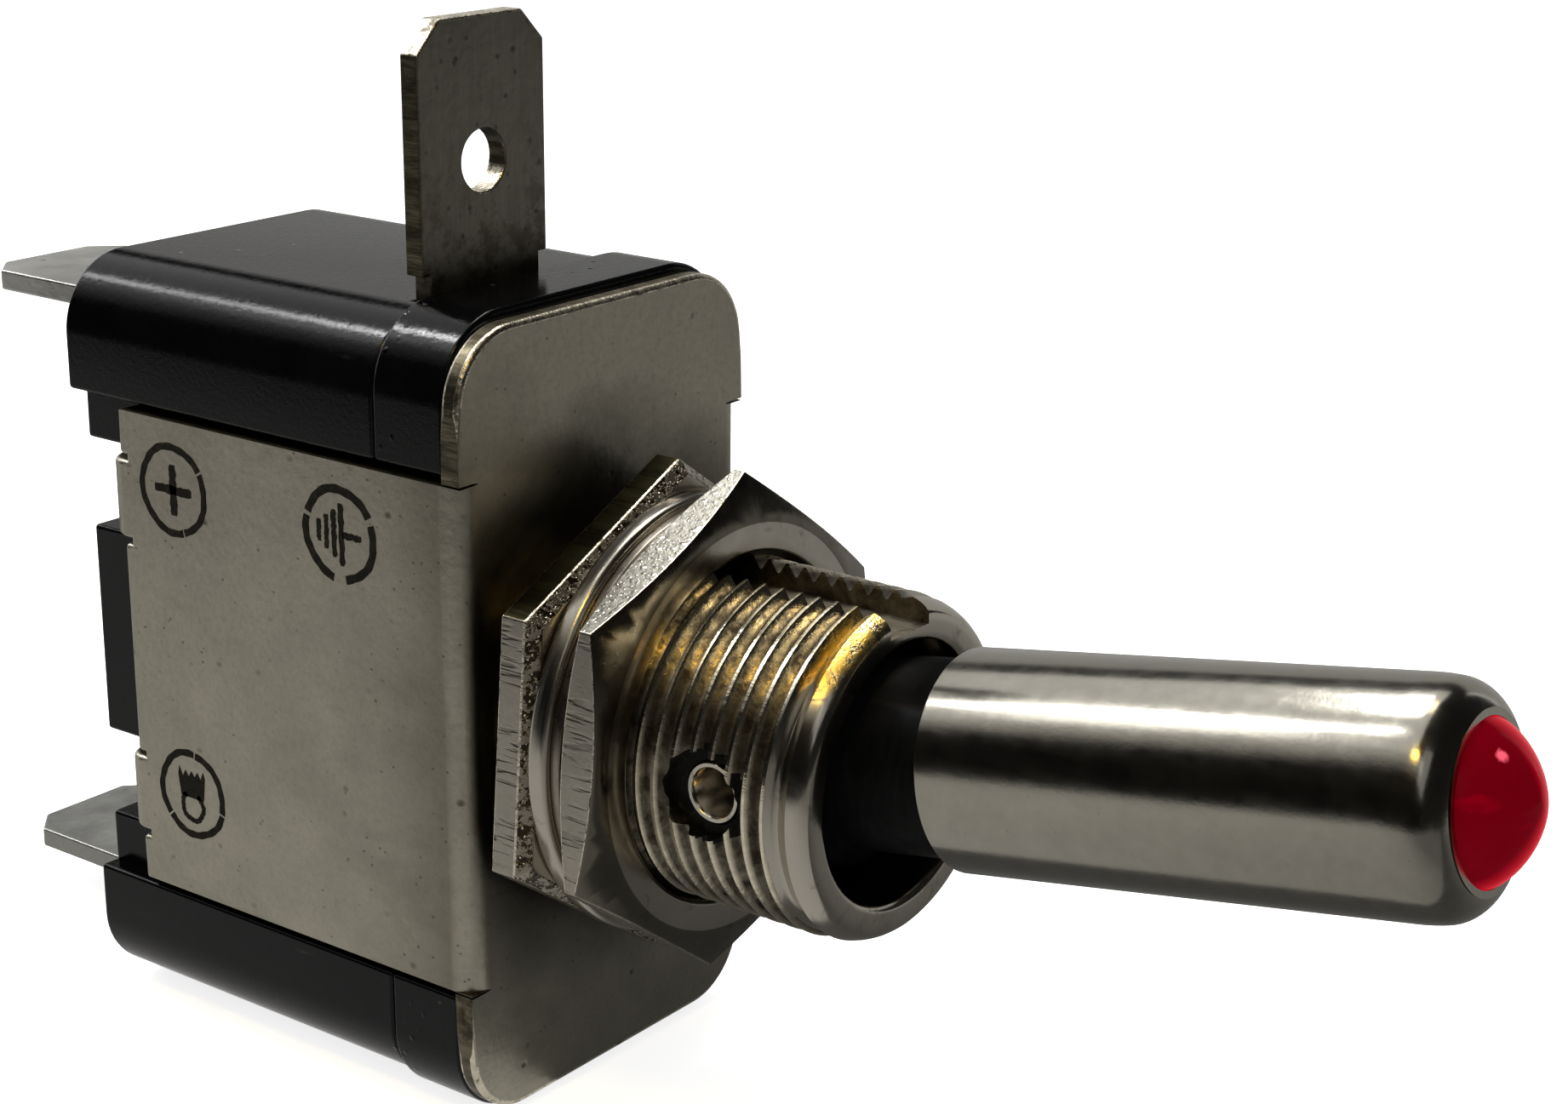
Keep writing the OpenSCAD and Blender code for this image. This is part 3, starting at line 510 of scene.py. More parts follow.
def red_lens(name):
    """Cast red epoxy, lit from within: deep red in the middle, a painted glow at the rim that grows as the dome
    turns away from the camera, faint painted streaks of light, and a small painted star-shaped highlight.
    """
    n, at = begin(name)
    flow = n.noise(n.scaled(at, (1, 1.6, 1)), 420, 3, 0.6, 1.0)
    # Painted light: the rim and faint streaks are brightened in the colour and the glow.
    layer = n.add("ShaderNodeLayerWeight")
    layer.inputs["Blend"].default_value = 0.4
    rim = n.spread(layer.outputs["Facing"], 0.42, 0.88)
    streaks = n.spread(n.noise(n.scaled(at, (1, 1, 2.2)), 520, 2, 0.5, 0.8), 0.62, 0.74)
    light = n.most(rim, n.times(streaks, 0.12))
    base = n.blend(light, (0.13, 0.0, 0.004), (0.50, 0.0, 0.012))
    glow = n.blend(light, (0.11, 0.0, 0.004), (1.0, 0.0, 0.03))
    # Painted highlight: a small pale star on the dome's upper side.
    radius, y = dome_point(40)
    turn = math.radians(114)
    spot = LEVER @ Vector((radius * math.cos(turn), y, radius * math.sin(turn)))
    painted_star = n.spread(n.apart(at, spot, n.noise(at, 2600, 2)), 0.26 * MM, 0.12 * MM)
    base = n.blend(painted_star, base, (0.9, 0.10, 0.16))
    glow = n.over(glow, painted_star, 0.8, (1.0, 0.14, 0.22))
    rough_map = n.spread(flow, 0.3, 0.7, 0.1, 0.2)
    return n.surface(base, rough_map, n.bump(flow, 0.15, 0.05), Emission_Color=glow,
                     Emission_Strength=0.42, Specular_IOR_Level=0.035)


def etched_ink(name):
    """Dark brown-black mark with a worn, uneven edge."""
    n, at = begin(name)
    wear = n.noise(at, 3400, 4, 0.7)
    base = n.blend(n.spread(wear, 0.45, 0.75), (0.006, 0.005, 0.003), (0.02, 0.016, 0.010))
    rough_map = n.spread(wear, 0.3, 0.7, 0.55, 0.8)
    return n.surface(base, rough_map, n.bump(wear, 0.3, 0.02), Specular_IOR_Level=0.1)


def worn_edge(name, tone):
    """Rolled-over rim of stamped sheet: plating rubbed bright, broken by dirt."""
    n, at = begin(name)
    breaks = n.noise(at, 1500, 4, 0.7)
    fine = n.noise(at, 4200, 3, 0.7)
    dirt = n.spread(breaks, 0.54, 0.64)
    base = n.blend(n.spread(fine, 0.3, 0.7), tone, shade(tone, 0.7))
    base = n.over(base, dirt, 0.85, (0.035, 0.026, 0.016))
    return n.surface(base, n.spread(breaks, 0.4, 0.65, 0.2, 0.42), n.bump(n.plus(fine, breaks), 0.5, 0.05),
                     metallic=1.0)


def cut_edge(name, tone):
    """Sheared side of stamped sheet: rough, brown with grime, with short marks through the thickness."""
    n, at = begin(name)
    marks = n.noise(n.scaled(at, (1, 0.15, 1)), 2600, 3, 0.6)
    dirt = n.noise(at, 900, 5, 0.7)
    base = n.blend(n.spread(marks, 0.35, 0.68), tone, shade(tone, 0.35))
    base = n.over(base, n.spread(dirt, 0.48, 0.62), 0.8, (0.035, 0.025, 0.014))
    return n.surface(base, n.spread(dirt, 0.3, 0.7, 0.3, 0.55), n.bump(marks, 0.7, 0.06), metallic=1.0)


def pocket_grime(name):
    """Near-black, lumpy surface where the drill broke through the thread."""
    n, at = begin(name)
    lumps = n.noise(at, 2400, 4, 0.7)
    base = n.blend(n.spread(lumps, 0.55, 0.75), (0.003, 0.003, 0.002), (0.02, 0.015, 0.009))
    rough_map = n.spread(lumps, 0.3, 0.7, 0.4, 0.7)
    return n.surface(base, rough_map, n.bump(lumps, 0.8, 0.08), Specular_IOR_Level=0.15)


def plain_metal(name, tone, rough=0.3, scale=1400, lines=(1, 1, 1)):
    """Small inner metal parts: stamped or turned, lightly tarnished."""
    n, at = begin(name)
    grain = n.noise(n.scaled(at, lines), scale, 4, 0.65)
    tarnish = n.noise(at, 350, 4, 0.6)
    base = n.blend(n.spread(tarnish, 0.35, 0.7), tone, shade(tone, 0.62))
    rough_map = n.spread(grain, 0.3, 0.7, rough, rough + 0.15)
    return n.surface(base, rough_map, n.bump(grain, 0.2, 0.04), metallic=1.0)


def fired_coating(name):
    """Tan resistor coating with a faint glaze."""
    n, at = begin(name)
    glaze = n.noise(at, 1800, 4, 0.6)
    base = n.blend(n.spread(glaze, 0.3, 0.7), (0.45, 0.34, 0.17), (0.56, 0.44, 0.25))
    return n.surface(base, n.spread(glaze, 0.3, 0.7, 0.3, 0.5), n.bump(glaze, 0.2, 0.04))


MATERIALS = {}


def mix(make, name, *values, **more):
    MATERIALS[name] = make(name, *values, **more)


mix(plated_sheet, "nickel_sheet", (0.385, 0.36, 0.295), grime=True)
mix(plated_sheet, "terminal_metal", (0.50, 0.50, 0.475), rough=0.32, grain=(0.2, 1, 1))
mix(plated_sheet, "ground_metal", (0.21, 0.197, 0.163), rough=0.4, grain=(1, 1, 0.12), foot=(21, 15.5))
# A darker copy of the terminal metal: painted shade for the load terminal's blade under the body.
mix(plated_sheet, "terminal_dull", (0.33, 0.33, 0.31), rough=0.34, grain=(0.2, 1, 1))
mix(worn_edge, "worn_edge", (0.78, 0.72, 0.58))
mix(cut_edge, "cut_edge", (0.17, 0.15, 0.10))
mix(pocket_grime, "pocket_grime")
mix(bakelite, "bakelite")
mix(bright_nickel, "bright_nickel", (0.50, 0.465, 0.40), 0.16, (0.1, 3, 0.1), 1500, 0.2)
mix(thread_metal, "thread_nickel", (0.74, 0.67, 0.52))
mix(nose_metal, "nose_nickel", (0.50, 0.465, 0.40))
mix(tooled_flat, "nut_side", (0.36, 0.335, 0.285))
# The rear nut's upper pair of sides: dark olive, partly tarnish and partly painted shade.
mix(bright_nickel, "nut_olive", (0.058, 0.05, 0.024), 0.24, (1, 0.08, 1), 3600, 0.3, dirt_low=0.6)
mix(bright_nickel, "nut_face", (0.45, 0.42, 0.36), 0.13, (1, 1, 1), 900, 0.12, dirt_low=0.6, dirt_mix=0.7)
mix(bright_nickel, "nut_dark", (0.17, 0.155, 0.125), 0.16, (1, 1, 1), 900, 0.12, dirt_low=0.56,
    dirt_mix=0.7)
mix(pitted_bevel, "nut_bevel", (0.34, 0.31, 0.25))
mix(speckled_flat, "nut_grain", (0.33, 0.315, 0.27))
mix(satin_tube, "satin_sleeve", (0.35, 0.332, 0.284))
mix(lever_plastic, "lever_black")
mix(red_lens, "red_lens")
mix(etched_ink, "etched_ink")
mix(plain_metal, "spring_steel", (0.30, 0.27, 0.225), 0.22)
mix(plain_metal, "plunger_brass", (0.62, 0.42, 0.14), 0.22, 1600, (1, 4, 1))
mix(plain_metal, "copper_alloy", (0.60, 0.33, 0.15), 0.28)
mix(plain_metal, "silver", (0.72, 0.72, 0.7), 0.22)
mix(plain_metal, "tinned_wire", (0.5, 0.49, 0.46), 0.3)
mix(fired_coating, "resistor")


def coat(piece, material):
    piece.data.materials.clear()
    piece.data.materials.append(MATERIALS[material])


# ---------------- mesh helpers

def new_piece(name, mesh_source, material, sharp=30):
    """Makes an object from a bmesh, shaded smooth but for edges sharper than that many degrees."""
    mesh = bpy.data.meshes.new(name)
    mesh_source.to_mesh(mesh)
    mesh_source.free()
    mesh.shade_smooth()
    mesh.set_sharp_from_angle(angle=math.radians(sharp))
    piece = put(name, mesh)
    coat(piece, material)
    return piece


def staged(name, made, material):
    """Makes an object from a bmesh with one material, for the floor and the cards."""
    mesh = bpy.data.meshes.new(name)
    made.to_mesh(mesh)
    made.free()
    mesh.materials.append(material)
    thing = put(name, mesh)
    return thing


def settle(piece, body, stands_for=()):
    """Rides the piece on its body, and hides the CAD nodes that it stands for."""
    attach(piece, body)
    if stands_for:
        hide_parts(*stands_for)


def strip(made, here, there):
    """Closes the band of faces between two rings of as many corners."""
    count = len(here)
    for k in range(count):
        made.faces.new((here[k], here[(k + 1) % count], there[(k + 1) % count], there[k]))


def lathe(profile, segments=192):
    """Closed ring profile of (radius, y) points in metres, turned about the Y axis."""
    made = bmesh.new()
    rings = []
    for i in range(segments):
        turn = 2 * math.pi * i / segments
        rings.append([made.verts.new((r * math.cos(turn), y, r * math.sin(turn))) for r, y in profile])
    for i in range(segments):
        strip(made, rings[i], rings[(i + 1) % segments])
    bmesh.ops.remove_doubles(made, verts=made.verts, dist=1e-7)
    bmesh.ops.recalc_face_normals(made, faces=made.faces)
    return made


def arc(centre, radius, start, end, steps):
    """Points of an arc, in (radius, y), from start to end in degrees."""
    points = []
    for k in range(steps + 1):
        angle = math.radians(start + (end - start) * k / steps)
        points.append((centre[0] + radius * math.cos(angle), centre[1] + radius * math.sin(angle)))
    return points


def cad_copy(node):
    """The CAD node's solid as one clean bmesh: welded, with its flat faces joined up."""
    made = bmesh.new()
    made.from_mesh(frame["nodes"][node].data)
    bmesh.ops.remove_doubles(made, verts=made.verts, dist=2e-6)
    bmesh.ops.dissolve_limit(made, angle_limit=math.radians(0.6), verts=made.verts, edges=made.edges)
    return made


BEND_DEPTH, BEND_REACH = 1.3 * MM, 2 * MM
NOTCH_WIDTH = 0.7 * MM
SLACK = 0.05 * MM
PINCHED_SHARE = 0.12


def by_bend(v):
    """Whether a corner of the bracket lies at the end of a bend, in or beside its relief notch."""
    over = abs(v.co.z) - WING_HALF
    return (v.co.y < BEND_DEPTH and abs(v.co.x) > -WING_X - BEND_REACH
            and -SLACK < over < NOTCH_WIDTH + SLACK)


def close_relief(made):
    """Pinches the relief notches beside the bends, which the folding has nearly closed on the real sheet."""
    for v in made.verts:
        over = abs(v.co.z) - WING_HALF
        if by_bend(v) and over > 0.005 * MM:
            v.co.z = math.copysign(WING_HALF + over * PINCHED_SHARE, v.co.z)


MIN_ANGLE = math.radians(32)
ROLLED_KIN, FLAT_KIN = math.cos(math.radians(52)), math.cos(math.radians(35))
AREA_CAP = 4e-6


def rounded_copy(node, width, material):
    """A copy of the CAD solid with its sharp edges rolled over, which stands for the node.

    Each corner takes its normal from the faces that were there before the rounding, so flats stay flat.
    """
    made = cad_copy(node)
    edges = [e for e in made.edges
             if e.is_manifold and e.is_convex and e.calc_face_angle() > MIN_ANGLE
             and not (node == "bracket" and any(by_bend(v) for v in e.verts))]
    rolled = bmesh.ops.bevel(made, geom=edges, offset=width, segments=3, profile=0.5, affect="EDGES",
                             clamp_overlap=False, loop_slide=True)["faces"]
    rolled = set(rolled)
    if node == "bracket":
        close_relief(made)
    made.normal_update()
    normals = []
    for face in made.faces:
        kin = ROLLED_KIN if face in rolled else FLAT_KIN
        for vert in face.verts:
            near = [f for f in vert.link_faces if f not in rolled and f.normal.dot(face.normal) > kin]
            if not near:
                near = [f for f in vert.link_faces if f.normal.dot(face.normal) > kin]
            total = Vector()
            for f in near:
                total += f.normal * min(f.calc_area(), AREA_CAP)
            normals.append((total if total.length > 1e-12 else face.normal).normalized())
    piece = new_piece(node + "_finished", made, material, 180)
    piece.data.normals_split_custom_set(normals)
    return piece


def paint(piece, chosen, material):
    """Gives another material to the faces that chosen(centre, normal) picks."""
    piece.data.materials.append(MATERIALS[material])
    index = len(piece.data.materials) - 1
    for face in piece.data.polygons:
        if chosen(face.center, face.normal):
            face.material_index = index


def cut(piece, cutters):
    """Takes the cutter meshes out of the piece, and keeps the result as its mesh."""
    for cutter in cutters:
        step = piece.modifiers.new("cut", "BOOLEAN")
        step.operation = "DIFFERENCE"
        step.solver = "EXACT"
        step.object = cutter
    bpy.context.view_layer.update()
    graph = bpy.context.evaluated_depsgraph_get()
    mesh = bpy.data.meshes.new_from_object(piece.evaluated_get(graph))
    piece.modifiers.clear()
    old = piece.data
    piece.data = mesh
    bpy.data.meshes.remove(old)
    for cutter in cutters:
        bpy.data.objects.remove(cutter)


def box_cutter(low, high):
    made = bmesh.new()
    bmesh.ops.create_cube(made, size=1)
    for v in made.verts:
        v.co = Vector([low[i] if v.co[i] < 0 else high[i] for i in range(3)])
    return new_piece("cutter", made, "etched_ink")


def ragged_cutter(radius, x0, x1, y, seed, segments=72):
    """Rod along X at height 0 with a torn edge, as a drill leaves where it breaks the thread's crests."""
    rng = random.Random(seed)
    phases = [(k, rng.uniform(0, 6.28), rng.uniform(0.4, 1.0) / k ** 0.5) for k in (3, 7, 12, 19)]
    made = bmesh.new()
    rings = []
    for x in (x0, x1):
        ring = []
        for k in range(segments):
            turn = 2 * math.pi * k / segments
            r = radius + 0.06 * MM * sum(a * math.sin(n * turn + p) for n, p, a in phases)
            ring.append(made.verts.new((x, y + r * math.cos(turn), r * math.sin(turn))))
        rings.append(ring)
    strip(made, *rings)
    made.faces.new(rings[0][::-1])
    made.faces.new(rings[1])
    bmesh.ops.recalc_face_normals(made, faces=made.faces)
    return new_piece("cutter", made, "etched_ink")


def rod_cutter(radius, x0, x1, y, segments=48):
    """Rod along X at height 0."""
    made = bmesh.new()
    place = Matrix.Translation(((x0 + x1) / 2, y, 0)) @ Matrix.Rotation(math.radians(90), 4, "Y")
    bmesh.ops.create_cone(made, cap_ends=True, segments=segments, radius1=radius, radius2=radius,
                          depth=abs(x1 - x0), matrix=place)
    return new_piece("cutter", made, "etched_ink")


# ---------------- threaded bushing

PITCH = 0.75 * MM
THREAD_DEPTH = 0.42 * MM
CREST_SHARE = 0.16
ROOT_SHARE = 0.12
KEY_FLOOR = 5.0 * MM
NOSE_LEN = 1.5 * MM
BORE_R = 4.56 * MM
RIM_R = 5.4 * MM
ROWS_A_PITCH = 12
THREAD_SEGMENTS = 160
THREAD_SHARP = 24


def thread_radius(share):
    """Radius at a share of the pitch: a flat crest, then a V groove with a small round root."""
    share %= 1.0
    if share < CREST_SHARE:
        return THREAD_R
    across = abs(2 * (share - CREST_SHARE) / (1 - CREST_SHARE) - 1)
    return THREAD_R - THREAD_DEPTH * (1 - max(across, ROOT_SHARE)) / (1 - ROOT_SHARE)


def nose_radius(y):
    """Radius of the rounded nose at y, from the rim back to the thread."""
    along = (y - BUSHING_LO.y) / NOSE_LEN
    if along >= 1:
        return THREAD_R
    return RIM_R + (THREAD_R - RIM_R) * math.sqrt(max(0.0, 1 - (1 - along) ** 2))


def threaded_bushing():
    """Bushing with a real helical thread, in place of the plain CAD cylinder."""
    front, back = BUSHING_LO.y, 0.0
    start = front + 0.75 * NOSE_LEN
    rows = int((back - start) / PITCH + 2) * ROWS_A_PITCH
    made = bmesh.new()
    roll = 0.28 * MM
    bore_front = front + roll
    fixed_front = [(BORE_R, BUSHING_HI.y), (BORE_R, bore_front)]
    fixed_front += arc((BORE_R + roll, bore_front), roll, 180, 270, 5)[1:]
    fixed_front += [(RIM_R - 0.2 * MM, front)]
    for share in (0.004, 0.03, 0.09, 0.18, 0.3, 0.45):
        y = front + NOSE_LEN * share
        fixed_front.append((nose_radius(y), y))
    neck, collar = BORE_R + 0.8 * MM, BUSHING_HI.y - 0.7 * MM
    fixed_back = [(neck, back), (neck, collar), (BUSHING_HI.x, collar),
                  (BUSHING_HI.x - 0.3 * MM, BUSHING_HI.y)]
    columns = []
    for i in range(THREAD_SEGMENTS + 1):
        turn = i / THREAD_SEGMENTS
        lead = turn * PITCH
        points = list(fixed_front)
        for row in range(rows + 1):
            y = start + (row / ROWS_A_PITCH - 1) * PITCH + lead
            inside = min(max(y, start), back)
            share = row / ROWS_A_PITCH if y == inside else (inside - start - lead) / PITCH + 1
            points.append((min(thread_radius(share), nose_radius(inside)), inside))
        points += fixed_back
        angle = 2 * math.pi * turn
        columns.append([made.verts.new((r * math.cos(angle), y, r * math.sin(angle))) for r, y in points])
    for i in range(THREAD_SEGMENTS):
        strip(made, columns[i], columns[i + 1])
    bmesh.ops.remove_doubles(made, verts=made.verts, dist=1e-6)
    bmesh.ops.dissolve_degenerate(made, dist=1e-6, edges=made.edges)
    bmesh.ops.recalc_face_normals(made, faces=made.faces)
    piece = new_piece("bushing_thread", made, "thread_nickel", THREAD_SHARP)
    half_key = 1.1 * MM
    keyway = box_cutter((-half_key, front - MM, KEY_FLOOR), (half_key, -MM, THREAD_R + MM))
    pin_lo, pin_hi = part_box("pivot_pin")
    pin_r = (pin_hi.z - pin_lo.z) / 2
    cutters = [keyway, rod_cutter(pin_r + 0.02 * MM, -THREAD_R - MM, THREAD_R + MM, PIVOT.y)]
    for side in (-1, 1):
        cutters.append(ragged_cutter(pin_r + 0.42 * MM, side * (pin_hi.x - 0.1 * MM), side * (THREAD_R + MM),
                                     PIVOT.y + 0.22 * MM, 5 + side))
    cut(piece, cutters)
    piece.data.shade_smooth()
    piece.data.set_sharp_from_angle(angle=math.radians(THREAD_SHARP))
    smooth = front + NOSE_LEN
    paint(piece, lambda c, n: c.y < smooth or math.hypot(c.x, c.z) < BORE_R + 0.1 * MM, "nose_nickel")
    # The pocket's walls round the pin are made near-black.
    pocket = pin_r + 0.55 * MM
    paint(piece, lambda c, n: math.hypot(c.y - PIVOT.y, c.z) < pocket
          and pin_hi.x - 0.2 * MM < abs(c.x) < THREAD_R - 0.04 * MM
          and math.hypot(c.x, c.z) < THREAD_R - 0.08 * MM, "pocket_grime")
    settle(piece, "body", ["threaded_bushing"])


def pin_ends():
    """The hollow pin with its rolled-out mouth at each end."""
    low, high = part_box("pivot_pin")
    outer = (high.z - low.z) / 2
    inner = outer - 0.3 * MM
    reach = high.x
    profile = [(inner, -reach + 0.12 * MM), (inner + 0.1 * MM, -reach), (outer - 0.08 * MM, -reach),
               (outer, -reach + 0.1 * MM), (outer, reach - 0.1 * MM), (outer - 0.08 * MM, reach),
               (inner + 0.1 * MM, reach), (inner, reach - 0.12 * MM)]
    made = lathe(profile, 96)
    made.transform(Matrix.Translation((0, PIVOT.y, 0)) @ Matrix.Rotation(math.radians(90), 4, "Z"))
    settle(new_piece("pin_finished", made, "nose_nickel", 40), "body", ["pivot_pin"])


# ---------------- lever

def lever_piece(name, made, material, stands_for, sharp=30):
    """A piece made in the lever's own frame, put at its pivot."""
    made.transform(LEVER)
    settle(new_piece(name, made, material, sharp), "lever", stands_for)


def lever_sleeve():
    low, high = lever_box("lever_sleeve")
    outer = high.x
    wall = 0.55 * MM
    edge, lead, lean = 1.25 * MM, 6.0 * MM, 8
    lamp_r = lamp_sizes()[0] + 0.05 * MM
    front, rear = low.y, high.y
    lip = 0.12 * MM
    profile = [(outer - wall, rear - 0.02 * MM)]
    profile += arc((outer - 0.1 * MM, rear - 0.1 * MM), 0.1 * MM, 90, 0, 4)
    edge_r = outer - lead + (lead - edge) * math.cos(math.radians(lean))
    lead_y = front + edge + (lead - edge) * math.sin(math.radians(lean))
    profile += arc((outer - lead, lead_y), lead, 0, -lean, 8)
    profile += arc((edge_r, front + edge), edge, -lean, -84, 16)[1:]
    profile += arc((lamp_r + lip, front + lip + 0.01 * MM), lip, -90, -180, 4)
    profile += [(lamp_r, front + MM), (outer - wall, front + MM)]
    lever_piece("sleeve_finished", lathe(profile), "satin_sleeve", ["lever_sleeve"], 40)


def lamp():
    """Lamp lens: a dome between a sphere and a cone, on a barrel with a flange behind the sleeve's lip."""
    body_r, _, tip, seat = lamp_sizes()
    high = lever_box("led")[1]
    flange, rear = high.x, high.y
    steps = 26
    profile = [(0.0, tip)] + [dome_point(90 - 90 * k / steps) for k in range(1, steps + 1)]
    profile += [(body_r, seat + MM), (flange, seat + MM), (flange, seat + 2 * MM), (body_r, seat + 2 * MM),
                (body_r, rear), (0.0, rear)]
    lever_piece("lamp_lens", lathe(profile, 128), "red_lens", ["led"], 40)


def lever_core():
    made = cad_copy("lever_core")
    piece = new_piece("lever_core_finished", made, "lever_black", 35)
    settle(piece, "lever", ["lever_core"])


def plunger_spring():
    """The spring, as a clean copy of the CAD coil, fixed where the CAD puts it."""
    piece = new_piece("spring_coil", cad_copy("plunger_spring"), "spring_steel", 35)
    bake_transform(piece)
    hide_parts("plunger_spring")


# ---------------- marks on the left wing

INK_PROUD = 0.012 * MM
INK_STEP = math.radians(3)


def ink_patch(made, outline):
    """A thin raised patch on the wing's outer face. outline is a list of (y, z) in metres."""
    outer = [made.verts.new((WING_X - INK_PROUD, y, z)) for y, z in outline]
    inner = [made.verts.new((WING_X + INK_PROUD, y, z)) for y, z in outline]
    made.faces.new(outer)
    made.faces.new(inner[::-1])
    strip(made, inner, outer)


def ragged(rng, amount=0.03):
    return rng.uniform(-amount, amount) * MM


def ink_ring(made, centre, radius, stroke, gaps=()):
    """A ring drawn with an uneven pen. gaps are (start, end) in degrees where the stencil left it open."""
    turn = 0.0
    while turn < 2 * math.pi - 1e-6:
        middle = math.degrees(turn + INK_STEP / 2)
        if not any(a <= middle <= b for a, b in gaps):
            corners = []
            for angle, side in ((turn, -1), (turn + INK_STEP, -1), (turn + INK_STEP, 1), (turn, 1)):
                wobble = 0.02 * math.sin(5 * angle + radius * 9000) + 0.012 * math.sin(17 * angle + side)
                r = radius + side * stroke / 2 + wobble * MM
                corners.append((centre[0] + r * math.cos(angle), centre[1] + r * math.sin(angle)))
            ink_patch(made, corners)
        turn += INK_STEP


def ink_bar(made, rng, a, b, width, steps=14):
    """A straight stroke from a to b with ragged sides and ends."""
    a, b = Vector(a), Vector(b)
    along = (b - a).normalized()
    side = Vector((-along.y, along.x))
    left, right = [], []
    for k in range(steps + 1):
        p = a.lerp(b, k / steps)
        shrink = 0.75 if k in (0, steps) else 1.0
        left.append(tuple(p + side * (width / 2 * shrink + ragged(rng))))
        right.append(tuple(p - side * (width / 2 * shrink + ragged(rng))))
    ink_patch(made, left + right[::-1])


def wing_marks():
    """The three generic terminal signs, as dark etched strokes: plus, earth and lamp load."""
    rng = random.Random(11)
    radius, stroke = 1.62 * MM, 0.27 * MM
    plus = (14.05 * MM, 6.63 * MM)
    earth = (5.66 * MM, 6.6 * MM)
    load = (13.95 * MM, -5.13 * MM)

    made = bmesh.new()
    ink_ring(made, plus, radius, stroke, [(146, 149), (252, 256)])
    for arm in (Vector((0.95, 0)) * MM, Vector((0, 0.95)) * MM):
        ink_bar(made, rng, Vector(plus) - arm, Vector(plus) + arm, 0.34 * MM)
    settle(new_piece("mark_plus", made, "etched_ink"), "body")

    made = bmesh.new()
    ink_ring(made, earth, radius, 0.31 * MM, [(14, 22), (150, 160), (262, 282)])
    for k, half in enumerate((1.12, 0.86, 0.62, 0.4)):
        y = earth[0] - 0.1 * MM + k * 0.36 * MM
        ink_bar(made, rng, (y, earth[1] - half * MM), (y, earth[1] + half * MM), (0.25 - 0.02 * k) * MM)
    ink_bar(made, rng, (earth[0] - 0.15 * MM, earth[1]), (earth[0] - 1.05 * MM, earth[1]), 0.24 * MM)
    settle(new_piece("mark_earth", made, "etched_ink"), "body")

    made = bmesh.new()
    ink_ring(made, load, radius, stroke, [(96, 99), (196, 199), (318, 322)])
    top, shoulder, foot = 0.95 * MM, 0.72 * MM, 0.15 * MM
    cup = [(load[0] - shoulder, load[1] + 0.75 * MM)]
    for k in range(9):
        across = -shoulder + 2 * shoulder * (k + 0.5) / 9
        spike = top if k % 2 == 0 else top - 0.3 * MM
        cup.append((load[0] + across, load[1] + spike + ragged(rng, 0.08)))
    cup += [(load[0] + shoulder, load[1] + 0.7 * MM), (load[0] + 0.6 * MM, load[1] - foot),
            (load[0] - 0.6 * MM, load[1] - foot)]
    ink_patch(made, cup)
    ink_ring(made, (load[0], load[1] - 0.5 * MM), 0.55 * MM, 0.2 * MM, [(60, 120)])
    settle(new_piece("mark_load", made, "etched_ink"), "body")


# ---------------- the CAD solids' finishes

ROUNDED = {
    "bracket": (0.2, "nickel_sheet"),
    "front_cover": (0.16, "bakelite"),
    "base_housing": (0.16, "bakelite"),
    "rear_nut": (0.07, "nut_side"),
    "front_nut": (0.07, "nut_side"),
    "supply_terminal": (0.1, "terminal_metal"),
    # The load terminal takes the darker copy of the terminal metal as painted shade.
    "load_terminal": (0.1, "terminal_dull"),
    "ground_terminal": (0.08, "ground_metal"),
}
NUT_FINISH_AND_SHADE = {
    # The rear nut's upper sides take nut_olive, which is partly painted shade.
    "rear_nut": ("nut_olive", "nut_bevel", -0.93, -0.3),
    "front_nut": ("nut_grain", "nut_dark", -0.96, -0.4),
}


def paint_bracket(piece):
    """Sheared edges all round, and a worn line where the plate's rim and the wings' long edges roll over."""
    rim, side = WING_HALF + 0.1 * MM, -WING_X - SHEET_T
    paint(piece, lambda c, n: c.y < SHEET_T and abs(n.y) < 0.2 and abs(c.z) > rim
          or abs(n.z) > 0.97 and abs(c.x) > side, "cut_edge")
    paint(piece, lambda c, n: abs(c.z) > rim and c.y < 0.25 * MM and 0.2 < abs(n.y) < 0.97
          or abs(c.x) > -WING_X - 0.25 * MM and 0.15 < abs(n.z) < 0.97
          and c.y > SHEET_T / 2 and abs(c.z) > WING_HALF - 0.3 * MM, "worn_edge")


def paint_nut(piece, upper_side, bevel, low, high):
    """Turned faces, one pair of sides in another finish, the front bevel, and worn corners between them. On the
    rear nut that pair of sides is dark olive, partly tarnish and partly painted shade.

    The bevel is where the normal's y is between low and high.
    """
    paint(piece, lambda c, n: abs(n.y) > 0.3, "nut_face")
    paint(piece, lambda c, n: abs(n.y) < 0.12 and abs(n.z) > 0.6 and n.x * n.z < 0, upper_side)
    paint(piece, lambda c, n: low < n.y < high, bevel)
    paint(piece, lambda c, n: 0.1 < abs(n.y) < 0.4, "worn_edge")


def finish_cad_nodes():
    slots = {s["node"]: s["material_slot"] for s in frame["record"]["subparts"]}
    for node, (width, material) in ROUNDED.items():
        piece = rounded_copy(node, width * MM, material)
        if node in NUT_FINISH_AND_SHADE:
            paint_nut(piece, *NUT_FINISH_AND_SHADE[node])
        elif node == "bracket":
            paint_bracket(piece)
        elif node == "ground_terminal":
            paint(piece, lambda c, n: abs(n.x) > 0.9, "cut_edge")
            paint(piece, lambda c, n: n.z > 0.25 and abs(n.y) < 0.97, "worn_edge")
        settle(piece, "body", [node])
    for node, thing in frame["nodes"].items():
        if node not in ROUNDED:
            coat(thing, slots[node])


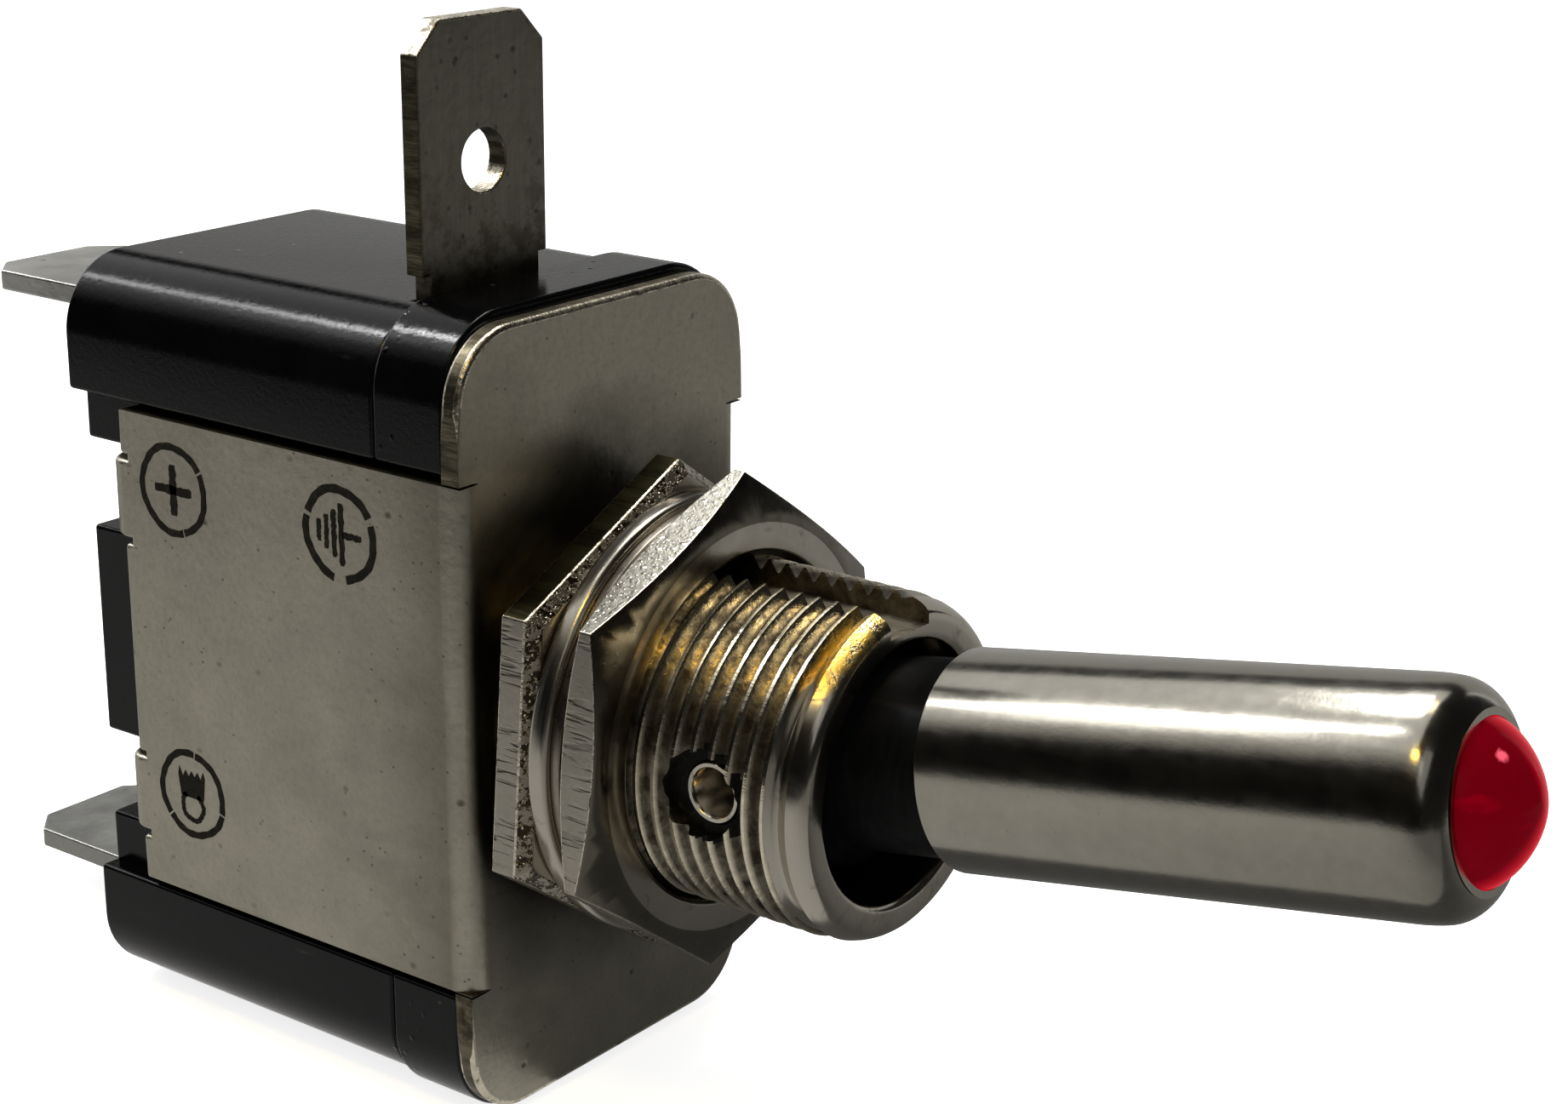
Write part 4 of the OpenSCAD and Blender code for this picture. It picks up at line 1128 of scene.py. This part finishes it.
def washers():
    """The flat washer and the lock washer, turned with soft edges."""
    for node, edge, material in (("flat_washer", 0.22, "bright_nickel"),
                                 ("lock_washer", 0.08, "spring_steel")):
        edge *= MM
        low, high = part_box(node)
        outer = high.x
        inner = THREAD_R + 0.04 * MM
        profile = [(inner, low.y), *arc((outer - edge, low.y + edge), edge, -90, 0, 5),
                   *arc((outer - edge, high.y - edge), edge, 0, 90, 5), (inner, high.y)]
        piece = new_piece(node + "_turned", lathe(profile), material, 40)
        settle(piece, "body", [node])


# ---------------- studio

WORLD_LIGHT = 0.45


def studio_material(name, tone, strength):
    """Matt card that the camera and the gloss see lifted by that much, so that the floor reads as white."""
    n = Nodes(name)
    diffuse = n.add("ShaderNodeBsdfDiffuse")
    diffuse.inputs["Color"].default_value = colour(tone)
    glow = n.add("ShaderNodeEmission")
    n.feed(glow.inputs["Strength"], n.times(n.seen(), strength))
    both = n.add("ShaderNodeAddShader")
    n.tree.links.new(diffuse.outputs[0], both.inputs[0])
    n.tree.links.new(glow.outputs[0], both.inputs[1])
    return n.end(both)


def make_floor():
    made = bmesh.new()
    bmesh.ops.create_grid(made, x_segments=1, y_segments=1, size=3)
    floor = staged("floor", made, studio_material("floor", (0.84, 0.84, 0.83), 0.78))
    floor.location.z = FLOOR_Z


def make_world():
    """White to the camera and the gloss, and a dimmer light on matt surfaces."""
    n = Nodes("studio", "worlds")
    background = n.add("ShaderNodeBackground")
    background.inputs["Color"].default_value = (1, 1, 1, 1)
    n.feed(background.inputs["Strength"], n.spread(n.seen(), 0.0, 1.0, WORLD_LIGHT, 1.0))
    bpy.context.scene.world = n.end(background, "ShaderNodeOutputWorld")


def softbox(name, place, aim, size, watts, tone=(1, 1, 1)):
    """A rectangular lamp. Its long side lies as near the Y axis as its aim lets it."""
    data = bpy.data.lights.new(name, "AREA")
    data.shape = "RECTANGLE"
    data.size, data.size_y = size[0] * MM, size[1] * MM
    data.energy = watts
    data.color = tone
    lamp_object = put(name, data)
    place, aim = Vector(place) * MM, Vector(aim) * MM
    back = (place - aim).normalized()
    right = Vector((0, 1, 0)).cross(back).normalized()
    up = back.cross(right)
    lamp_object.matrix_world = Matrix.Translation(place) @ Matrix((right, up, back)).transposed().to_4x4()


def card(name, corner, along, across, level, fade=None):
    """A grey card that only the gloss sees, as in a product studio. corner and sides are in millimetres.

    fade is (axis, from, to, end level): the card's level goes over to the end level between the two places.
    """
    corner, along, across = (Vector(v) * MM for v in (corner, along, across))
    made = bmesh.new()
    made.faces.new([made.verts.new(corner + step) for step in (Vector(), along, along + across, across)])
    n = Nodes(name)
    glow = n.add("ShaderNodeEmission")
    glow.inputs["Color"].default_value = colour((1.0, 0.985, 0.95))
    glow.inputs["Strength"].default_value = level
    if fade:
        axis, start, end, end_level = fade
        place = n.axes(n.place())[axis]
        n.feed(glow.inputs["Strength"], n.spread(place, start * MM, end * MM, level, end_level))
    thing = staged(name, made, n.end(glow))
    thing.visible_camera = False
    thing.visible_diffuse = False
    thing.visible_shadow = False


def light_the_set():
    """A strip over the left shoulder and a weak front fill, between dark cards over a grey table."""
    softbox("key_strip", (-42, 205, 186), (0, 65, 0), (14, 270), 0.2)
    softbox("fill", (-160, -220, 190), (0, 0, 0), (220, 220), 0.06)
    softbox("warm_strip", (-95, -30, 150), (0, -30, 0), (16, 50), 0.045, (1.0, 0.66, 0.08))
    softbox("gold_lamp", (60, -5, 190), (0, -15, 0), (40, 40), 0.03, (1.0, 0.80, 0.45))
    softbox("wing_edge_lamp", (-78, 165, 186), (-8, 8, 9), (34, 66), 0.015)
    softbox("oval_lamp", (62, 60, 190), (0, -26, 7), (84, 74), 0.28)
    softbox("edge_strip", (-42, 148, 186), (0, 10, 8), (16, 34), 0.08)
    table = FLOOR_Z / MM + 0.2
    card("left_table", (-75, -700, table), (72, 0, 0), (0, 1500, 0), 0.20, ("Y", -70, 0, 0.57))
    card("left_table_far", (-700, -700, table), (625, 0, 0), (0, 1500, 0), 0.008, ("X", -120, -75, 0.4))
    card("right_table", (-3, -700, table), (697, 0, 0), (0, 1500, 0), 0.10, ("X", 5, 75, 0.42))
    card("left_wall", (-260, -240, table), (0, 980, 0), (0, 0, 420), 0.005, ("Z", 205, 340, 0.62))
    card("right_wall_low", (280, -100, table), (0, 800, 0), (0, 0, 190), 0.44)
    card("right_wall_high", (280, -100, 172), (0, 800, 0), (0, 0, 150), 0.02)
    card("front_wall", (-260, -230, table), (900, 0, 0), (0, 0, 420), 0.015)
    card("front_ceiling", (-260, -230, 405), (900, 0, 0), (0, 190, 30), 0.02)


# ---------------- build

make_camera()
make_floor()
make_world()
light_the_set()
finish_cad_nodes()
washers()
threaded_bushing()
pin_ends()
lever_sleeve()
lamp()
lever_core()
plunger_spring()
wing_marks()

bpy.context.scene.view_settings.view_transform = "Standard"
